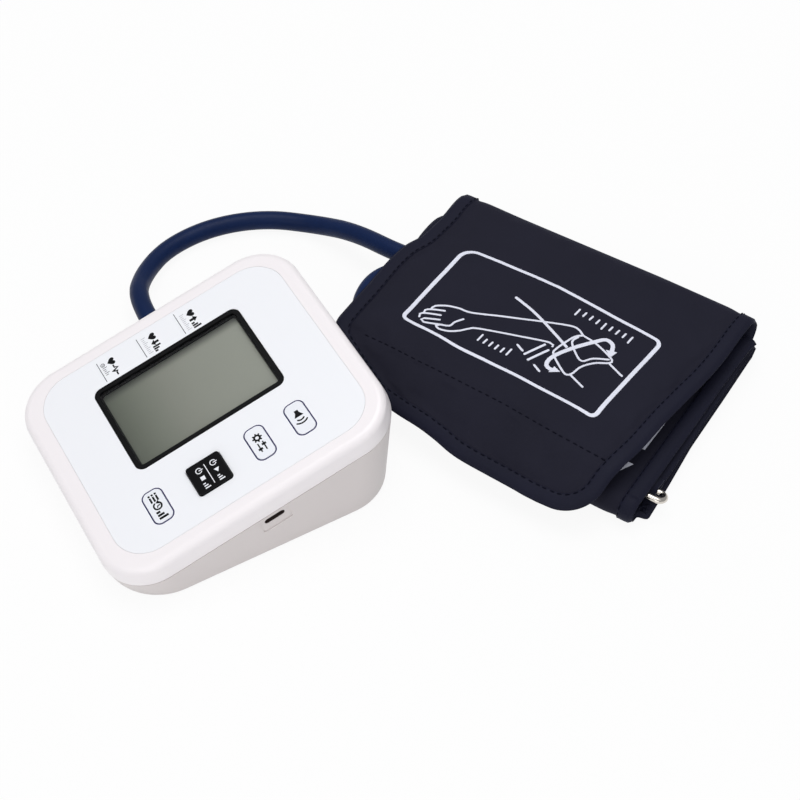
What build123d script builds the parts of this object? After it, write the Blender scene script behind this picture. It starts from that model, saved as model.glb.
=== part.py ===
from build123d import *
import os
from math import cos, pi, radians, sin, tan

# Upper arm blood pressure monitor with its folded arm cuff and air hose.
# Millimetres. +X is the reader's right, +Y points away from the reader, +Z is up.
# The origin is on the table, under the middle of the monitor's base.

os.makedirs("parts", exist_ok=True)

# ---------------------------------------------------------------- housing sizes
body_width = 106.0           # across the rim, along X
body_length = 123.0          # along the sloping face
body_corner = 19.5           # corner radius of the rim
face_tilt = 14.3             # slope of the face, degrees
face_mid_y = -2.5            # where the middle of the face stands
face_mid_height = 32.2
base_setback = 7.4           # the base is this much shorter than the face
base_width = body_width
base_length = body_length - base_setback
base_corner = 22.5
base_round = 1.4             # rounding where the walls meet the underside
wall = 2.2                   # moulded wall of both shells
crown_depth = 6.8            # face down to the crease of the rim
crown_draft = 6.0            # lean of the crown above the crease, degrees
crown_round = 3.1            # rounding of the crown's top edge
parting_depth = 8.8          # face down to the joint of the shells
seam_groove = 0.4            # height and depth of the groove under the joint
foot_height = 0.5            # underside above the table

# ---------------------------------------------------------------- face sizes
label_side = 7.1             # rim beside the label
label_end = 8.0              # rim past its ends
label_width = body_width - 2 * label_side
label_length = body_length - 2 * label_end
label_shift = 0.6            # the label sits a little above the face's middle
label_corner = 14.0
label_thick = 0.3
display_u = -9.8             # middle of the display, across the face
display_width = 43.6
display_length = 65.0
display_corner = 3.6
bezel_rim = 1.9              # black rim seen round the display
bezel_proud = 0.15
bezel_ledge = 0.6
window_thick = 1.2
window_sink = 0.5
tunnel_depth = 4.2           # face down to the liquid crystal glass
glass_thick = 2.0
backlight_thick = 1.4
carrier_wall = 2.2

# ---------------------------------------------------------------- keys
key_from_side = 23.4         # the keys' column from the rim's right side
key_u = body_width / 2 - key_from_side
small_key = (14.7, 7.6, 2.5)     # across, along the slope, corner radius
start_key = (13.4, 14.2, 1.2)
key_rows = {"memory": -32.8, "start": -10.6, "settings": 11.3, "voice": 28.8}
key_gap = 0.3                # all round each key cap
key_travel = 0.4
small_key_proud = 0.25
start_key_proud = 1.4
key_flange = 1.1             # how far the retaining flange reaches past the cap
flange_thick = 1.2
flange_gap = 0.1
stem_radius = 1.8
switch_size = 6.0
switch_height = 3.4
plunger_radius = 1.55
plunger_play = 0.1
plunger_rise = 1.0

# ---------------------------------------------------------------- electronics
board_depth = 9.3            # face down to the board's upper side
board_thick = 1.6
board_side_room = 4.3        # board to the inside of the side walls
board_width = body_width - 2 * (wall + board_side_room)
board_near_gap = 23.5        # board's near edge from the rim's near end, along the slope
board_far_gap = 20.5
board_front = board_near_gap - body_length / 2
board_rear = body_length / 2 - board_far_gap
board_screw_u = board_width / 2 - 3.5
board_screw_places = [
    (-board_screw_u, board_front + 8.0),
    (-board_screw_u, board_rear - 7.0),
    (board_screw_u, board_front + 17.0),
    (board_screw_u, board_rear - 5.0),
]
board_boss_radius = 2.6
small_screw_radius = 0.9
small_screw_play = 0.05
usb_y = 1.9                  # middle of the charging port along the wall
usb_width = 8.9
usb_height = 3.2
usb_depth = 7.3
usb_slot = (8.6, 2.7)        # opening in the wall, a plug's width and height
port_panel = (12.5, 7.6)     # shallow panel moulded round the port
port_panel_depth = 0.35

# ---------------------------------------------------------------- batteries
cell_radius = 5.25
cell_length = 44.5
cell_count = 4
cell_gap = 0.4
spring_room = 4.6
spring_wire = 0.3
spring_radius = 2.6
spring_play = 0.05
plate_thick = 0.3
bay_play = 0.5
bay_wall = 1.5
bay_y = 5.5                  # middle of the battery bay
door_thick = 1.2
door_lip = 1.6               # the door reaches past the bay all round
door_gap = 0.3
door_pin_radius = 0.5
door_pin_length = 1.6
door_pin_play = 0.1

# ---------------------------------------------------------------- screws and feet
case_screw_side = 13.5       # screws in from the base's sides
case_screw_x = base_width / 2 - case_screw_side
case_screw_rows = (16.8 - base_length / 2, base_length / 2 - 13.8)
case_screw_places = [(side * case_screw_x, y) for y in case_screw_rows for side in (-1, 1)]
case_screw_radius = 1.3
case_screw_play = 0.05
case_head_radius = 2.7
case_head_height = 2.0
case_post_radius = 4.0
case_boss_radius = 3.4
case_join_front = 10.0       # height where posts and bosses meet
case_join_rear = 22.0
screw_bite = 7.0
foot_radius = 4.5
foot_thick = 1.8
foot_x = base_width / 2 - 16.0
foot_rows = (27.8 - base_length / 2, base_length / 2 - 26.8)
foot_places = [(side * foot_x, y) for y in foot_rows for side in (-1, 1)]

# ---------------------------------------------------------------- air side
jack_y = 4.8
jack_z = 12.0
jack_radius = 5.2
jack_flange_radius = 7.0
jack_flange_thick = 1.0
jack_bore_radius = 3.05
jack_bore_depth = 12.0
jack_barb_radius = 2.1
jack_barb_length = 3.5
jack_wall_play = 0.15
tube_radius = 2.0            # soft tubes inside the housing
manifold_size = (6.0, 8.0, 8.0)
jack_to_manifold = 4.3       # length of the tube between them
pump_radius = 10.2
pump_length = 30.0
pump_head_length = 19.0
pump_from_wall = 16.4        # pump head's end face to the inside of the left wall
pump_left = -body_width / 2 + wall + pump_from_wall
pump_from_rear = 12.1        # pump's axis to the inside of the base's rear wall
pump_y = base_length / 2 - wall - pump_from_rear
pump_gap = 0.3
valve_size = (11.0, 18.0, 10.0)
sensor_size = (9.0, 9.0, 3.4)
speaker_radius = 10.0
speaker_height = 4.5
speaker_from_wall = 14.3     # middle of the speaker to the inside of the right wall
speaker_place = (body_width / 2 - wall - speaker_from_wall, -15.0)
grille_hole_radius = 0.8

# ---------------------------------------------------------------- plug and hose
plug_nozzle_radius = 3.0
plug_nozzle_length = 11.0
plug_grip_radius = 5.0
plug_grip_length = 9.0
plug_collar_radius = 4.3
plug_gap = 0.3               # grip to the jack's flange
hose_radius = 4.0

# ---------------------------------------------------------------- cuff
cuff_corner = (-54.0, 147.5)     # far left corner of the folded stack, on the table
cuff_turn = 27.7             # the stack's width direction, degrees from +X
cuff_width = 135.0
cuff_depth = 101.0           # far edge to near fold
cloth = 2.4                  # one layer: two plies and their padding
bladder_layer = 5.6          # thicker layer that holds the bladder
bladder_thick = 2.4
bladder_margin = 8.0
bladder_end = 68.0
ring_level = 6.0             # underside of the layer that ends at the ring
ring_wire = 1.3
ring_span = 5.5              # wire centre to wire centre
ring_setback = 18.5          # the bar in its hem to the outside of the near fold
ring_bar_depth = cuff_depth - ring_setback
ring_lift = 20.0             # how the ring leans up from flat, degrees
ring_end_play = 0.05         # from the hem's end to where the wire turns
hem_play = 0.1
hem_wall = 0.9
lower_shift = 3.2            # the lower layers lie this much to the right
lower_end = 93.0             # and stop short of the near fold there
middle_level = 10.6          # underside of the middle layer
soft_gap = 0.3
flap_length = 113.5
flap_bend = 91.0             # where the flap starts to droop
flap_end_level = 10.3        # underside of the flap at its tip
flap_corner = 17.0
flap_left_fold = -0.5        # its left edge at the fold
flap_left_turn = 45.0        # where its left edge turns parallel to the fold's end
flap_right_turn = 5.0        # where its right edge starts to run in
flap_overshoot = 20.0        # the cutting outline reaches this far past the fold
hook_left = 2.0
hook_right = 108.0
hook_far_gap = 1.0           # from the bend to the hook tape
hook_near_gap = 4.0          # from the tape to the flap's tip
flap_left = -7.0             # the flap lies a little askew: its left edge near the tip,
flap_right_tip = 116.5       # its right edge at the tip
flap_right_fold = 136.0      # and its right edge at the fold
flap_stand_off = 1.5         # the corner behind the monitor is turned away from its wall
hook_thick = 0.9
collar_radius = 7.6
collar_thick = 1.2
nipple_radius = 4.2

# ---------------------------------------------------------------- frames
tilt = radians(face_tilt)
face = Plane(origin=(0, face_mid_y, face_mid_height), x_dir=(1, 0, 0), z_dir=(0, -sin(tilt), cos(tilt)))
turn = radians(cuff_turn)
across = Vector(cos(turn), sin(turn), 0)
nearward = Vector(sin(turn), -cos(turn), 0)
stack_origin = Vector(cuff_corner[0], cuff_corner[1], 0)


def face_height(y, depth=0.0):
    """Height of the plane that lies depth below the face, at this y."""
    return face_mid_height + (y - face_mid_y) * tan(tilt) - depth / cos(tilt)


def on_face(u, v, n, shape):
    """Put a shape on the face: u across, v up the slope, n out of it."""
    return face.location * Pos(u, v, n) * shape


def slab(width, length, thick, radius):
    """Rounded plate standing on z = 0."""
    return extrude(RectangleRounded(width, length, radius), amount=thick)


def block(x0, x1, y0, y1, z0, z1):
    """Box between two corners."""
    size = (x1 - x0, y1 - y0, z1 - z0)
    return Pos((x0 + x1) / 2, (y0 + y1) / 2, (z0 + z1) / 2) * Box(*size)


def post(x, y, z0, z1, radius):
    """Upright cylinder between two heights."""
    return Pos(x, y, (z0 + z1) / 2) * Cylinder(radius, z1 - z0)


def rod_x(y, z, x0, x1, radius):
    """Cylinder along X."""
    return Pos((x0 + x1) / 2, y, z) * Rot(0, 90, 0) * Cylinder(radius, x1 - x0)


def rod_y(x, z, y0, y1, radius):
    """Cylinder along Y."""
    return Pos(x, (y0 + y1) / 2, z) * Rot(90, 0, 0) * Cylinder(radius, y1 - y0)


def in_stack(a, b, z):
    """A place in the cuff's stack: a across it, b from its far edge, z up."""
    return stack_origin + across * a + nearward * b + Vector(0, 0, z)


def keep(name, shape):
    """Write one piece under its node name."""
    solids = shape.solids()
    body = solids[0] if len(solids) == 1 else Compound(children=list(solids))
    body.label = name
    export_step(body, f"parts/{name}.step")


# ---------------------------------------------------------------- shells
def crown(inset, top_depth):
    """Upper shell's volume, drawn in by inset, with its top at top_depth."""
    width = body_width - 2 * inset
    length = body_length - 2 * inset
    radius = body_corner - inset
    skirt = Pos(0, 0, -parting_depth) * slab(width, length, parting_depth - crown_depth, radius)
    outline = RectangleRounded(width, length, radius)
    cap = extrude(outline, amount=crown_depth - top_depth, taper=crown_draft)
    rounding = min(crown_round, 0.6 * (radius - inset))
    cap = fillet(cap.faces().sort_by(Axis.Z)[-1].edges(), rounding)
    return skirt + Pos(0, 0, -crown_depth) * cap


def tub(inset, floor, rounding):
    """Lower shell's volume, drawn in by inset, from the floor to the parting plane."""
    rim = RectangleRounded(body_width - 2 * inset, body_length - 2 * inset, body_corner - inset)
    rim = face.location * Pos(0, 0, -parting_depth) * rim
    base = RectangleRounded(base_width - 2 * inset, base_length - 2 * inset, base_corner - inset)
    base = Pos(0, 0, floor) * base
    body = loft([base, rim])
    return fillet(body.faces().sort_by(Axis.Z)[0].edges(), rounding)


def key_size(name):
    return start_key if name == "start" else small_key


def key_proud(name):
    return start_key_proud if name == "start" else small_key_proud


case_floor = foot_height + wall
rear_rim_y = face_mid_y + body_length / 2 * cos(tilt) + parting_depth * sin(tilt)
bay_width = cell_count * 2 * cell_radius + (cell_count - 1) * cell_gap + 2 * bay_play
bay_length = cell_length + spring_room + 2 * bay_play
bay_top = case_floor + 2 * cell_radius + bay_play
door_width = bay_width + 2 * door_lip
door_length = bay_length + 2 * door_lip
door_front = bay_y - door_length / 2
door_pin_y = door_front + door_thick / 2
door_pin_z = foot_height + door_thick / 2
wall_x = body_width / 2
usb_z = face_height(usb_y, board_depth + board_thick + usb_height / 2)
usb_mid_v = (usb_y - face_mid_y) / cos(tilt) - (board_depth + board_thick + usb_height / 2) * tan(tilt)


def join_height(y):
    return case_join_front if y < 0 else case_join_rear


def make_top_cover():
    shell = crown(0, 0) - crown(wall, wall)
    shell -= Pos(0, label_shift, -label_thick) * slab(label_width, label_length, wall, label_corner)
    opening = slab(display_width + soft_gap, display_length + soft_gap, 3 * wall, display_corner)
    shell -= Pos(display_u, 0, -2 * wall) * opening
    for name, v in key_rows.items():
        width, length, radius = key_size(name)
        hole = slab(width + 2 * key_gap, length + 2 * key_gap, 3 * wall, radius + key_gap)
        shell -= Pos(key_u, v, -2 * wall) * hole
    for u, v in board_screw_places:
        boss = Pos(u, v, -(wall / 2 + board_depth) / 2) * Cylinder(board_boss_radius, board_depth - wall / 2)
        pilot = Pos(u, v, -(wall + board_depth) / 2)
        shell += boss
        shell -= pilot * Cylinder(small_screw_radius + small_screw_play, board_depth - wall)
    shell = face.location * shell
    under_skin = on_face(0, 0, -wall / 2 - body_length / 2, Box(2 * body_width, 2 * body_length, body_length))
    for x, y in case_screw_places:
        top = face_height(y)
        boss = post(x, y, join_height(y), top, case_boss_radius) & under_skin
        shell += boss
        bore = case_screw_radius + case_screw_play
        shell -= post(x, y, join_height(y) - 1, join_height(y) + screw_bite + 1, bore)
    return shell


def make_bottom_case():
    shell = tub(0, foot_height, base_round) - tub(wall, case_floor, base_round - wall / 2)
    bay = block(-bay_width / 2 - bay_wall, bay_width / 2 + bay_wall,
                bay_y - bay_length / 2 - bay_wall, bay_y + bay_length / 2 + bay_wall,
                foot_height + wall / 2, bay_top + bay_wall)
    shell += bay
    shell -= block(-bay_width / 2, bay_width / 2, bay_y - bay_length / 2, bay_y + bay_length / 2, 0, bay_top)
    rebate_top = foot_height + door_thick + door_gap / 3
    shell -= block(-door_width / 2 - door_gap, door_width / 2 + door_gap,
                   door_front - door_gap, door_front + door_length + door_gap, 0, rebate_top)
    pin_end = door_width / 2 + door_pin_length + door_pin_play
    shell -= rod_x(door_pin_y, door_pin_z, -pin_end, pin_end, door_pin_radius + door_pin_play)
    for x, y in case_screw_places:
        seat = case_floor + 1.0
        shell += post(x, y, case_floor - wall / 2, join_height(y), case_post_radius)
        shell -= post(x, y, 0, seat, case_head_radius + 0.3)
        shell -= post(x, y, seat, join_height(y) + 1, case_screw_radius + 0.2)
    for x, y in foot_places:
        shell -= post(x, y, 0, foot_thick, foot_radius + 0.1)
    for ring, count in ((0.0, 1), (3.6, 6), (7.0, 12)):
        for i in range(count):
            angle = 2 * pi * i / count
            x = speaker_place[0] + ring * cos(angle)
            y = speaker_place[1] + ring * sin(angle)
            shell -= post(x, y, 0, case_floor + 1, grille_hole_radius)
    jack_hole = jack_radius + jack_wall_play
    shell -= rod_x(jack_y, jack_z, -wall_x - 2, -wall_x + 2 * wall + 2, jack_hole)
    outline = slab(body_width + 2, body_length + 2, seam_groove, body_corner + 1)
    kept = (body_width - 2 * seam_groove, body_length - 2 * seam_groove, body_corner - seam_groove)
    outline -= slab(kept[0], kept[1], seam_groove, kept[2])
    shell -= on_face(0, 0, -parting_depth - seam_groove, outline)
    slot = slab(usb_slot[0], usb_slot[1], 12, usb_slot[1] / 2 - 0.01)
    panel = slab(port_panel[0], port_panel[1], 6, 1.0)
    port = Plane(origin=(wall_x, usb_y, usb_z), x_dir=(0, cos(tilt), sin(tilt)), z_dir=(1, 0, 0))
    shell -= port.location * Pos(0, 0, -8) * slot
    shell -= port.location * Pos(0, -(port_panel[1] - usb_height) / 3, -port_panel_depth) * panel
    return shell


# ---------------------------------------------------------------- face pieces
def make_front_label():
    label = Pos(0, label_shift, -label_thick) * slab(label_width - 0.2, label_length - 0.2, label_thick, label_corner)
    opening = slab(display_width + soft_gap, display_length + soft_gap, 2, display_corner)
    label -= Pos(display_u, 0, -1) * opening
    for name, v in key_rows.items():
        width, length, radius = key_size(name)
        label -= Pos(key_u, v, -1) * slab(width + 2 * key_gap, length + 2 * key_gap, 2, radius + key_gap)
    return face.location * label


def make_display_bezel():
    height = tunnel_depth + bezel_proud
    frame = Pos(0, 0, -tunnel_depth) * slab(display_width, display_length, height, display_corner)
    flange = slab(display_width + 3, display_length + 3, 1.2, display_corner + 1.5)
    frame += Pos(0, 0, -wall - flange_gap - 1.2) * flange
    seat = window_sink + window_thick
    inner = (display_width - 2 * bezel_rim, display_length - 2 * bezel_rim, display_corner - bezel_rim)
    frame -= Pos(0, 0, -seat) * slab(inner[0], inner[1], seat + 1, inner[2])
    sight = (inner[0] - 2 * bezel_ledge, inner[1] - 2 * bezel_ledge)
    frame -= Pos(0, 0, -tunnel_depth - 1) * slab(sight[0], sight[1], tunnel_depth + 1, 1.2)
    return on_face(display_u, 0, 0, frame)


def make_display_window():
    width = display_width - 2 * bezel_rim - 0.1
    length = display_length - 2 * bezel_rim - 0.1
    pane = slab(width, length, window_thick, display_corner - bezel_rim)
    return on_face(display_u, 0, -window_sink - window_thick, pane)


def make_lcd_glass():
    pane = Box(display_width - 1.6, display_length - 1.6, glass_thick)
    return on_face(display_u, 0, -tunnel_depth - glass_thick / 2, pane)


def make_backlight():
    plate = Box(display_width - 8, display_length - 5, backlight_thick)
    return on_face(display_u, 0, -tunnel_depth - glass_thick - backlight_thick / 2, plate)


def make_lcd_carrier():
    inner = (display_width - 1.4, display_length - 1.4)
    outer = (inner[0] + 2 * carrier_wall, inner[1] + 2 * carrier_wall)
    height = board_depth - tunnel_depth
    frame = Box(outer[0], outer[1], height) - Box(inner[0], inner[1], height + 1)
    return on_face(display_u, 0, -(board_depth + tunnel_depth) / 2, frame)


def make_contact_strips():
    height = board_depth - tunnel_depth - glass_thick
    strips = Part()
    for side in (-1, 1):
        u = display_u + side * (display_width / 2 - 2.2)
        strip = Box(1.8, display_length - 6, height)
        strips += on_face(u, 0, -board_depth + height / 2, strip)
    return strips


def make_main_board():
    v_mid = (board_front + board_rear) / 2
    board = Pos(0, v_mid, -board_depth - board_thick) * slab(board_width, board_rear - board_front, board_thick, 2)
    for u, v in board_screw_places:
        board -= Pos(u, v, -board_depth - board_thick / 2) * Cylinder(1.2, board_thick + 1)
    return face.location * board


def make_tact_switches():
    group = Part()
    for v in key_rows.values():
        body = Box(switch_size, switch_size, switch_height)
        body = body - Pos(0, 0, switch_height / 2) * Cylinder(plunger_radius + plunger_play, 3.2)
        group += on_face(key_u, v, -board_depth + switch_height / 2, body)
    return group


def make_plunger(name):
    sink = key_travel + 0.8
    height = plunger_rise + sink
    top = -board_depth + switch_height + plunger_rise
    return on_face(key_u, key_rows[name], top - height / 2, Cylinder(plunger_radius, height))


def make_key(name):
    width, length, radius = key_size(name)
    flange_top = -wall - flange_gap
    proud = key_proud(name)
    cap = Pos(0, 0, flange_top) * slab(width, length, proud - flange_top, radius)
    edge = 0.5 if name == "start" else 0.15
    cap = fillet(cap.faces().sort_by(Axis.Z)[-1].edges(), edge)
    flange = slab(width + 2 * key_flange, length + 2 * key_flange, flange_thick, radius + key_flange)
    cap += Pos(0, 0, flange_top - flange_thick) * flange
    stem_end = -board_depth + switch_height + plunger_rise
    stem_length = flange_top - flange_thick - stem_end
    cap += Pos(0, 0, stem_end + stem_length / 2) * Cylinder(stem_radius, stem_length)
    return on_face(key_u, key_rows[name], 0, cap)


def make_board_screws():
    group = Part()
    reach = board_depth + board_thick - wall - 1.0
    for u, v in board_screw_places:
        head = Pos(u, v, -board_depth - board_thick - 0.7) * Cylinder(2.0, 1.4)
        head -= Pos(u, v, -board_depth - board_thick - 1.1) * Box(0.5, 2.4, 0.8)
        shank = Pos(u, v, -board_depth - board_thick + reach / 2) * Cylinder(small_screw_radius, reach)
        group += face.location * (head + shank)
    return group


def make_usb_port():
    depth = board_depth + board_thick + usb_height / 2
    shell = Box(usb_depth, usb_width, usb_height)
    shell = fillet(shell.edges().filter_by(Axis.X), usb_height / 2 - 0.1)
    mouth = Box(usb_depth, usb_width - 0.7, usb_height - 0.7)
    mouth = fillet(mouth.edges().filter_by(Axis.X), usb_height / 2 - 0.5)
    shell -= Pos(1.0, 0, 0) * mouth
    shell += Pos(-0.5, 0, 0) * Box(usb_depth - 1.6, usb_width - 2.2, 0.7)
    u = wall_x - wall - 0.7 - usb_depth / 2
    return on_face(u, usb_mid_v, -depth, shell)


# ---------------------------------------------------------------- power and sound
def cell_x(i):
    return (i - (cell_count - 1) / 2) * (2 * cell_radius + cell_gap)


cell_z = case_floor + cell_radius
bay_front = bay_y - bay_length / 2
bay_rear = bay_y + bay_length / 2


def make_battery_cells():
    group = Part()
    for i in range(cell_count):
        nub_side = 1 if i % 2 else -1
        mid = bay_y + nub_side * (spring_room / 2 + bay_play - 0.5)
        can = rod_y(cell_x(i), cell_z, mid - cell_length / 2, mid + cell_length / 2 - 1.0, cell_radius)
        if nub_side < 0:
            can = rod_y(cell_x(i), cell_z, mid - cell_length / 2 + 1.0, mid + cell_length / 2, cell_radius)
            can += rod_y(cell_x(i), cell_z, mid - cell_length / 2, mid - cell_length / 2 + 1.0, 1.9)
        else:
            can += rod_y(cell_x(i), cell_z, mid + cell_length / 2 - 1.0, mid + cell_length / 2, 1.9)
        group += can
    return group


def make_battery_springs():
    """One short coil under the flat end of each cell."""
    group = []
    for i in range(cell_count):
        nub_side = 1 if i % 2 else -1
        mid = bay_y + nub_side * (spring_room / 2 + bay_play - 0.5)
        flat_end = mid - nub_side * cell_length / 2
        wall_end = bay_rear if nub_side < 0 else bay_front
        room = abs(wall_end - flat_end) - plate_thick - 2 * (spring_wire + spring_play)
        path = Helix(pitch=room / 3, height=room, radius=spring_radius)
        section = Plane(origin=path @ 0, z_dir=path % 0) * Circle(spring_wire)
        coil = sweep(section, path=path)
        angle = 90 if nub_side > 0 else -90
        start = flat_end - nub_side * (spring_wire + spring_play)
        group.append(Pos(cell_x(i), start, cell_z) * Rot(angle, 0, 0) * coil)
    return Compound(children=group)


def make_battery_plates():
    """Spring steel strips that join the cells at each end of the bay."""
    group = Part()
    half = plate_thick / 2
    for y in (bay_front + half, bay_rear - half):
        for pair in (-1, 1):
            x = pair * bay_width / 4
            plate = block(x - bay_width / 4 + 1, x + bay_width / 4 - 1, y - half, y + half,
                          case_floor + 1, bay_top - 1)
            group += plate
    return group


def make_battery_door():
    door = block(-door_width / 2, door_width / 2, door_front, door_front + door_length,
                 foot_height, foot_height + door_thick)
    front = door.edges().filter_by(Axis.X).group_by(Axis.Y)[0]
    door = fillet(front, door_thick / 2 - 0.02)
    for side in (-1, 1):
        inner = side * (door_width / 2 - 0.2)
        outer = side * (door_width / 2 + door_pin_length)
        door += rod_x(door_pin_y, door_pin_z, min(inner, outer), max(inner, outer), door_pin_radius)
    for i in range(4):
        y = door_front + door_length - 6 - 2.2 * i
        door -= block(-8, 8, y - 0.5, y + 0.5, 0, foot_height + 0.35)
    return door


def make_speaker():
    x, y = speaker_place
    frame = post(x, y, case_floor, case_floor + 1.6, speaker_radius)
    magnet = post(x, y, case_floor + 1.6, case_floor + speaker_height, speaker_radius * 0.6)
    cone = post(x, y, case_floor - 0.1, case_floor + 1.0, speaker_radius - 1.2)
    return frame + magnet - cone


# ---------------------------------------------------------------- pneumatics
jack_inner = -wall_x + wall
jack_end = -wall_x - jack_flange_thick + jack_bore_depth + 1.2


def make_air_jack():
    body = rod_x(jack_y, jack_z, -wall_x - jack_flange_thick, jack_end, jack_radius)
    flange = rod_x(jack_y, jack_z, -wall_x - jack_flange_thick, -wall_x, jack_flange_radius)
    body += flange
    body += rod_x(jack_y, jack_z, jack_end, jack_end + jack_barb_length, jack_barb_radius)
    bore_end = -wall_x - jack_flange_thick + jack_bore_depth
    body -= rod_x(jack_y, jack_z, -wall_x - 3, bore_end, jack_bore_radius)
    body -= rod_x(jack_y, jack_z, bore_end - 1, jack_end + jack_barb_length + 1, 1.0)
    return body


manifold_left = jack_end + jack_barb_length + jack_to_manifold
manifold_x = manifold_left + manifold_size[0] / 2
head_left = pump_left
pump_z = case_floor + pump_radius + pump_gap


def make_air_manifold():
    return Pos(manifold_x, jack_y, jack_z) * Box(*manifold_size)


def make_inner_tubes():
    """Soft tubes from the manifold to the jack, the pump, the valve and the sensor."""
    tubes = rod_x(jack_y, jack_z, jack_end + jack_barb_length, manifold_left, tube_radius)
    half = manifold_size[1] / 2
    tubes += rod_y(manifold_x, jack_z, jack_y + half, pump_y - pump_radius, tube_radius)
    tubes += rod_y(manifold_x, jack_z, valve_rear, jack_y - half, tube_radius)
    tubes += post(manifold_x, jack_y, jack_z + manifold_size[2] / 2, sensor_bottom, tube_radius)
    return tubes


valve_rear = jack_y - manifold_size[1] / 2 - 6.0
valve_z = case_floor + valve_size[2] / 2 + 0.2
sensor_v = (jack_y - face_mid_y) / cos(tilt) - board_depth * tan(tilt)
sensor_bottom = face_height(jack_y, board_depth + board_thick + sensor_size[2]) - 1.5


def make_pressure_sensor():
    depth = board_depth + board_thick + sensor_size[2] / 2
    body = on_face(manifold_x, sensor_v - 0.5, -depth, Box(*sensor_size))
    nipple = post(manifold_x, jack_y, sensor_bottom, face_height(jack_y, depth), tube_radius * 0.8)
    return body + nipple


def make_release_valve():
    mid_y = valve_rear - valve_size[1] / 2
    body = Pos(manifold_x, mid_y, valve_z) * Box(*valve_size)
    body = fillet(body.edges().filter_by(Axis.Y), 1.2)
    return body + rod_y(manifold_x, jack_z, valve_rear - 0.5, valve_rear, tube_radius * 0.8)


def make_pump_head():
    head = rod_x(pump_y, pump_z, head_left, head_left + pump_head_length, pump_radius)
    head = fillet(head.edges(), 0.8)
    return head + rod_y(manifold_x, jack_z, pump_y - pump_radius, pump_y - pump_radius / 2, tube_radius * 0.9)


def make_pump_motor():
    start = head_left + pump_head_length
    can = rod_x(pump_y, pump_z, start, start + pump_length, pump_radius - 0.4)
    can = fillet(can.edges(), 1.0)
    return can + rod_x(pump_y, pump_z, start + pump_length, start + pump_length + 1.6, 3.0)


def make_pump_cradle():
    """Two foam-lined saddles that stand on the floor and hold the pump."""
    group = Part()
    start = head_left + pump_head_length
    for x in (head_left + 4, start + pump_length - 7):
        low = pump_z - pump_radius * 0.35
        saddle = block(x, x + 4, pump_y - pump_radius, pump_y + pump_radius, case_floor, low)
        reach = pump_radius + 0.05
        group += saddle - rod_x(pump_y, pump_z, x - 1, x + 5, reach)
    return group


# ---------------------------------------------------------------- fasteners and feet
def make_case_screws():
    group = Part()
    for x, y in case_screw_places:
        seat = case_floor + 1.0
        head = post(x, y, seat - case_head_height, seat, case_head_radius)
        head -= block(x - 0.5, x + 0.5, y - 2, y + 2, 0, seat - case_head_height + 1.0)
        head -= block(x - 2, x + 2, y - 0.5, y + 0.5, 0, seat - case_head_height + 1.0)
        group += head + post(x, y, seat, join_height(y) + screw_bite, case_screw_radius)
    return group


def make_rubber_feet():
    group = Part()
    for x, y in foot_places:
        foot = post(x, y, 0, foot_thick, foot_radius)
        group += fillet(foot.edges().group_by(Axis.Z)[0], 0.3)
    return group


# ---------------------------------------------------------------- plug and hose
grip_start = -wall_x - jack_flange_thick - plug_gap
grip_end = grip_start - plug_grip_length
hose_lie = hose_radius + soft_gap
hose_top_level = middle_level + cloth + soft_gap + hose_radius


def make_air_plug():
    tip = grip_start + plug_nozzle_length
    plug = rod_x(jack_y, jack_z, grip_start, tip, plug_nozzle_radius)
    plug += rod_x(jack_y, jack_z, grip_start - plug_grip_length * 0.7, grip_start, plug_grip_radius)
    for i in range(3):
        x = grip_start - 1.4 - 1.7 * i
        ring = rod_x(jack_y, jack_z, x - 0.8, x, plug_grip_radius + 1)
        plug -= ring - rod_x(jack_y, jack_z, x - 0.8, x, plug_grip_radius - 0.5)
    plug += rod_x(jack_y, jack_z, grip_end, grip_start - plug_grip_length * 0.7, plug_collar_radius)
    return plug - rod_x(jack_y, jack_z, grip_end - 1, tip + 1, 1.2)


def hose_points():
    """The hose's route: out of the plug, round behind, and in under the flap."""
    low = hose_lie
    high = hose_top_level
    on_table = [
        (grip_end, jack_y, jack_z),
        (grip_end - 15.2, jack_y, jack_z),
        (-97.5, 14.8, 6.3),
        (-110.3, 31.3, low),
        (-110.7, 52.0, low),
        (-102.0, 74.2, low),
        (-86.3, 91.6, low),
        (-67.5, 100.9, 13.0),
    ]
    in_cuff = [
        (-9.5, 36.3), (10.0, 19.0), (32.0, 13.0), (57.0, 11.5), (84.0, 13.0), (106.0, 24.0), (116.5, 46.0),
        (110.0, 70.0), (91.0, 85.5), (64.0, 87.5), (35.0, 87.1), (7.0, 87.3), (-9.0, 71.3), (-9.0, 48.7),
        (7.0, 32.7), (29.5, 32.7),
    ]
    return [Vector(*p) for p in on_table] + [in_stack(a, b, high) for a, b in in_cuff]


def hose_radii(points):
    """Each arc is 0.45 of its shorter run over the tangent of half its turn."""
    radii = []
    for before, here, after in zip(points, points[1:], points[2:]):
        one = here - before
        two = after - here
        half = radians(one.get_angle(two)) / 2
        radii.append(0.45 * min(one.length, two.length) / tan(half))
    return radii


def make_air_hose():
    points = hose_points()
    radii = hose_radii(points)
    path = FilletPolyline(*points, radius=radii)
    section = Plane(origin=path @ 0, z_dir=path % 0) * Circle(hose_radius)
    hose = sweep(section, path=path, transition=Transition.RIGHT)
    print("hose radii", [round(r, 1) for r in radii])
    area = pi * hose_radius ** 2
    print("hose length", round(path.length, 1), "volume ratio", round(hose.volume / (area * path.length), 5))
    return hose


# ---------------------------------------------------------------- cuff
side_plane = Plane(origin=in_stack(cuff_width, 0, 0), x_dir=nearward, z_dir=-across)


def layer(b0, b1, z0, z1, a0=0.0, a1=cuff_width):
    """Flat layer of the stack."""
    slab_box = block(a0, a1, -b1, -b0, z0, z1)
    return Plane(origin=stack_origin, x_dir=across, z_dir=(0, 0, 1)).location * slab_box


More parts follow.
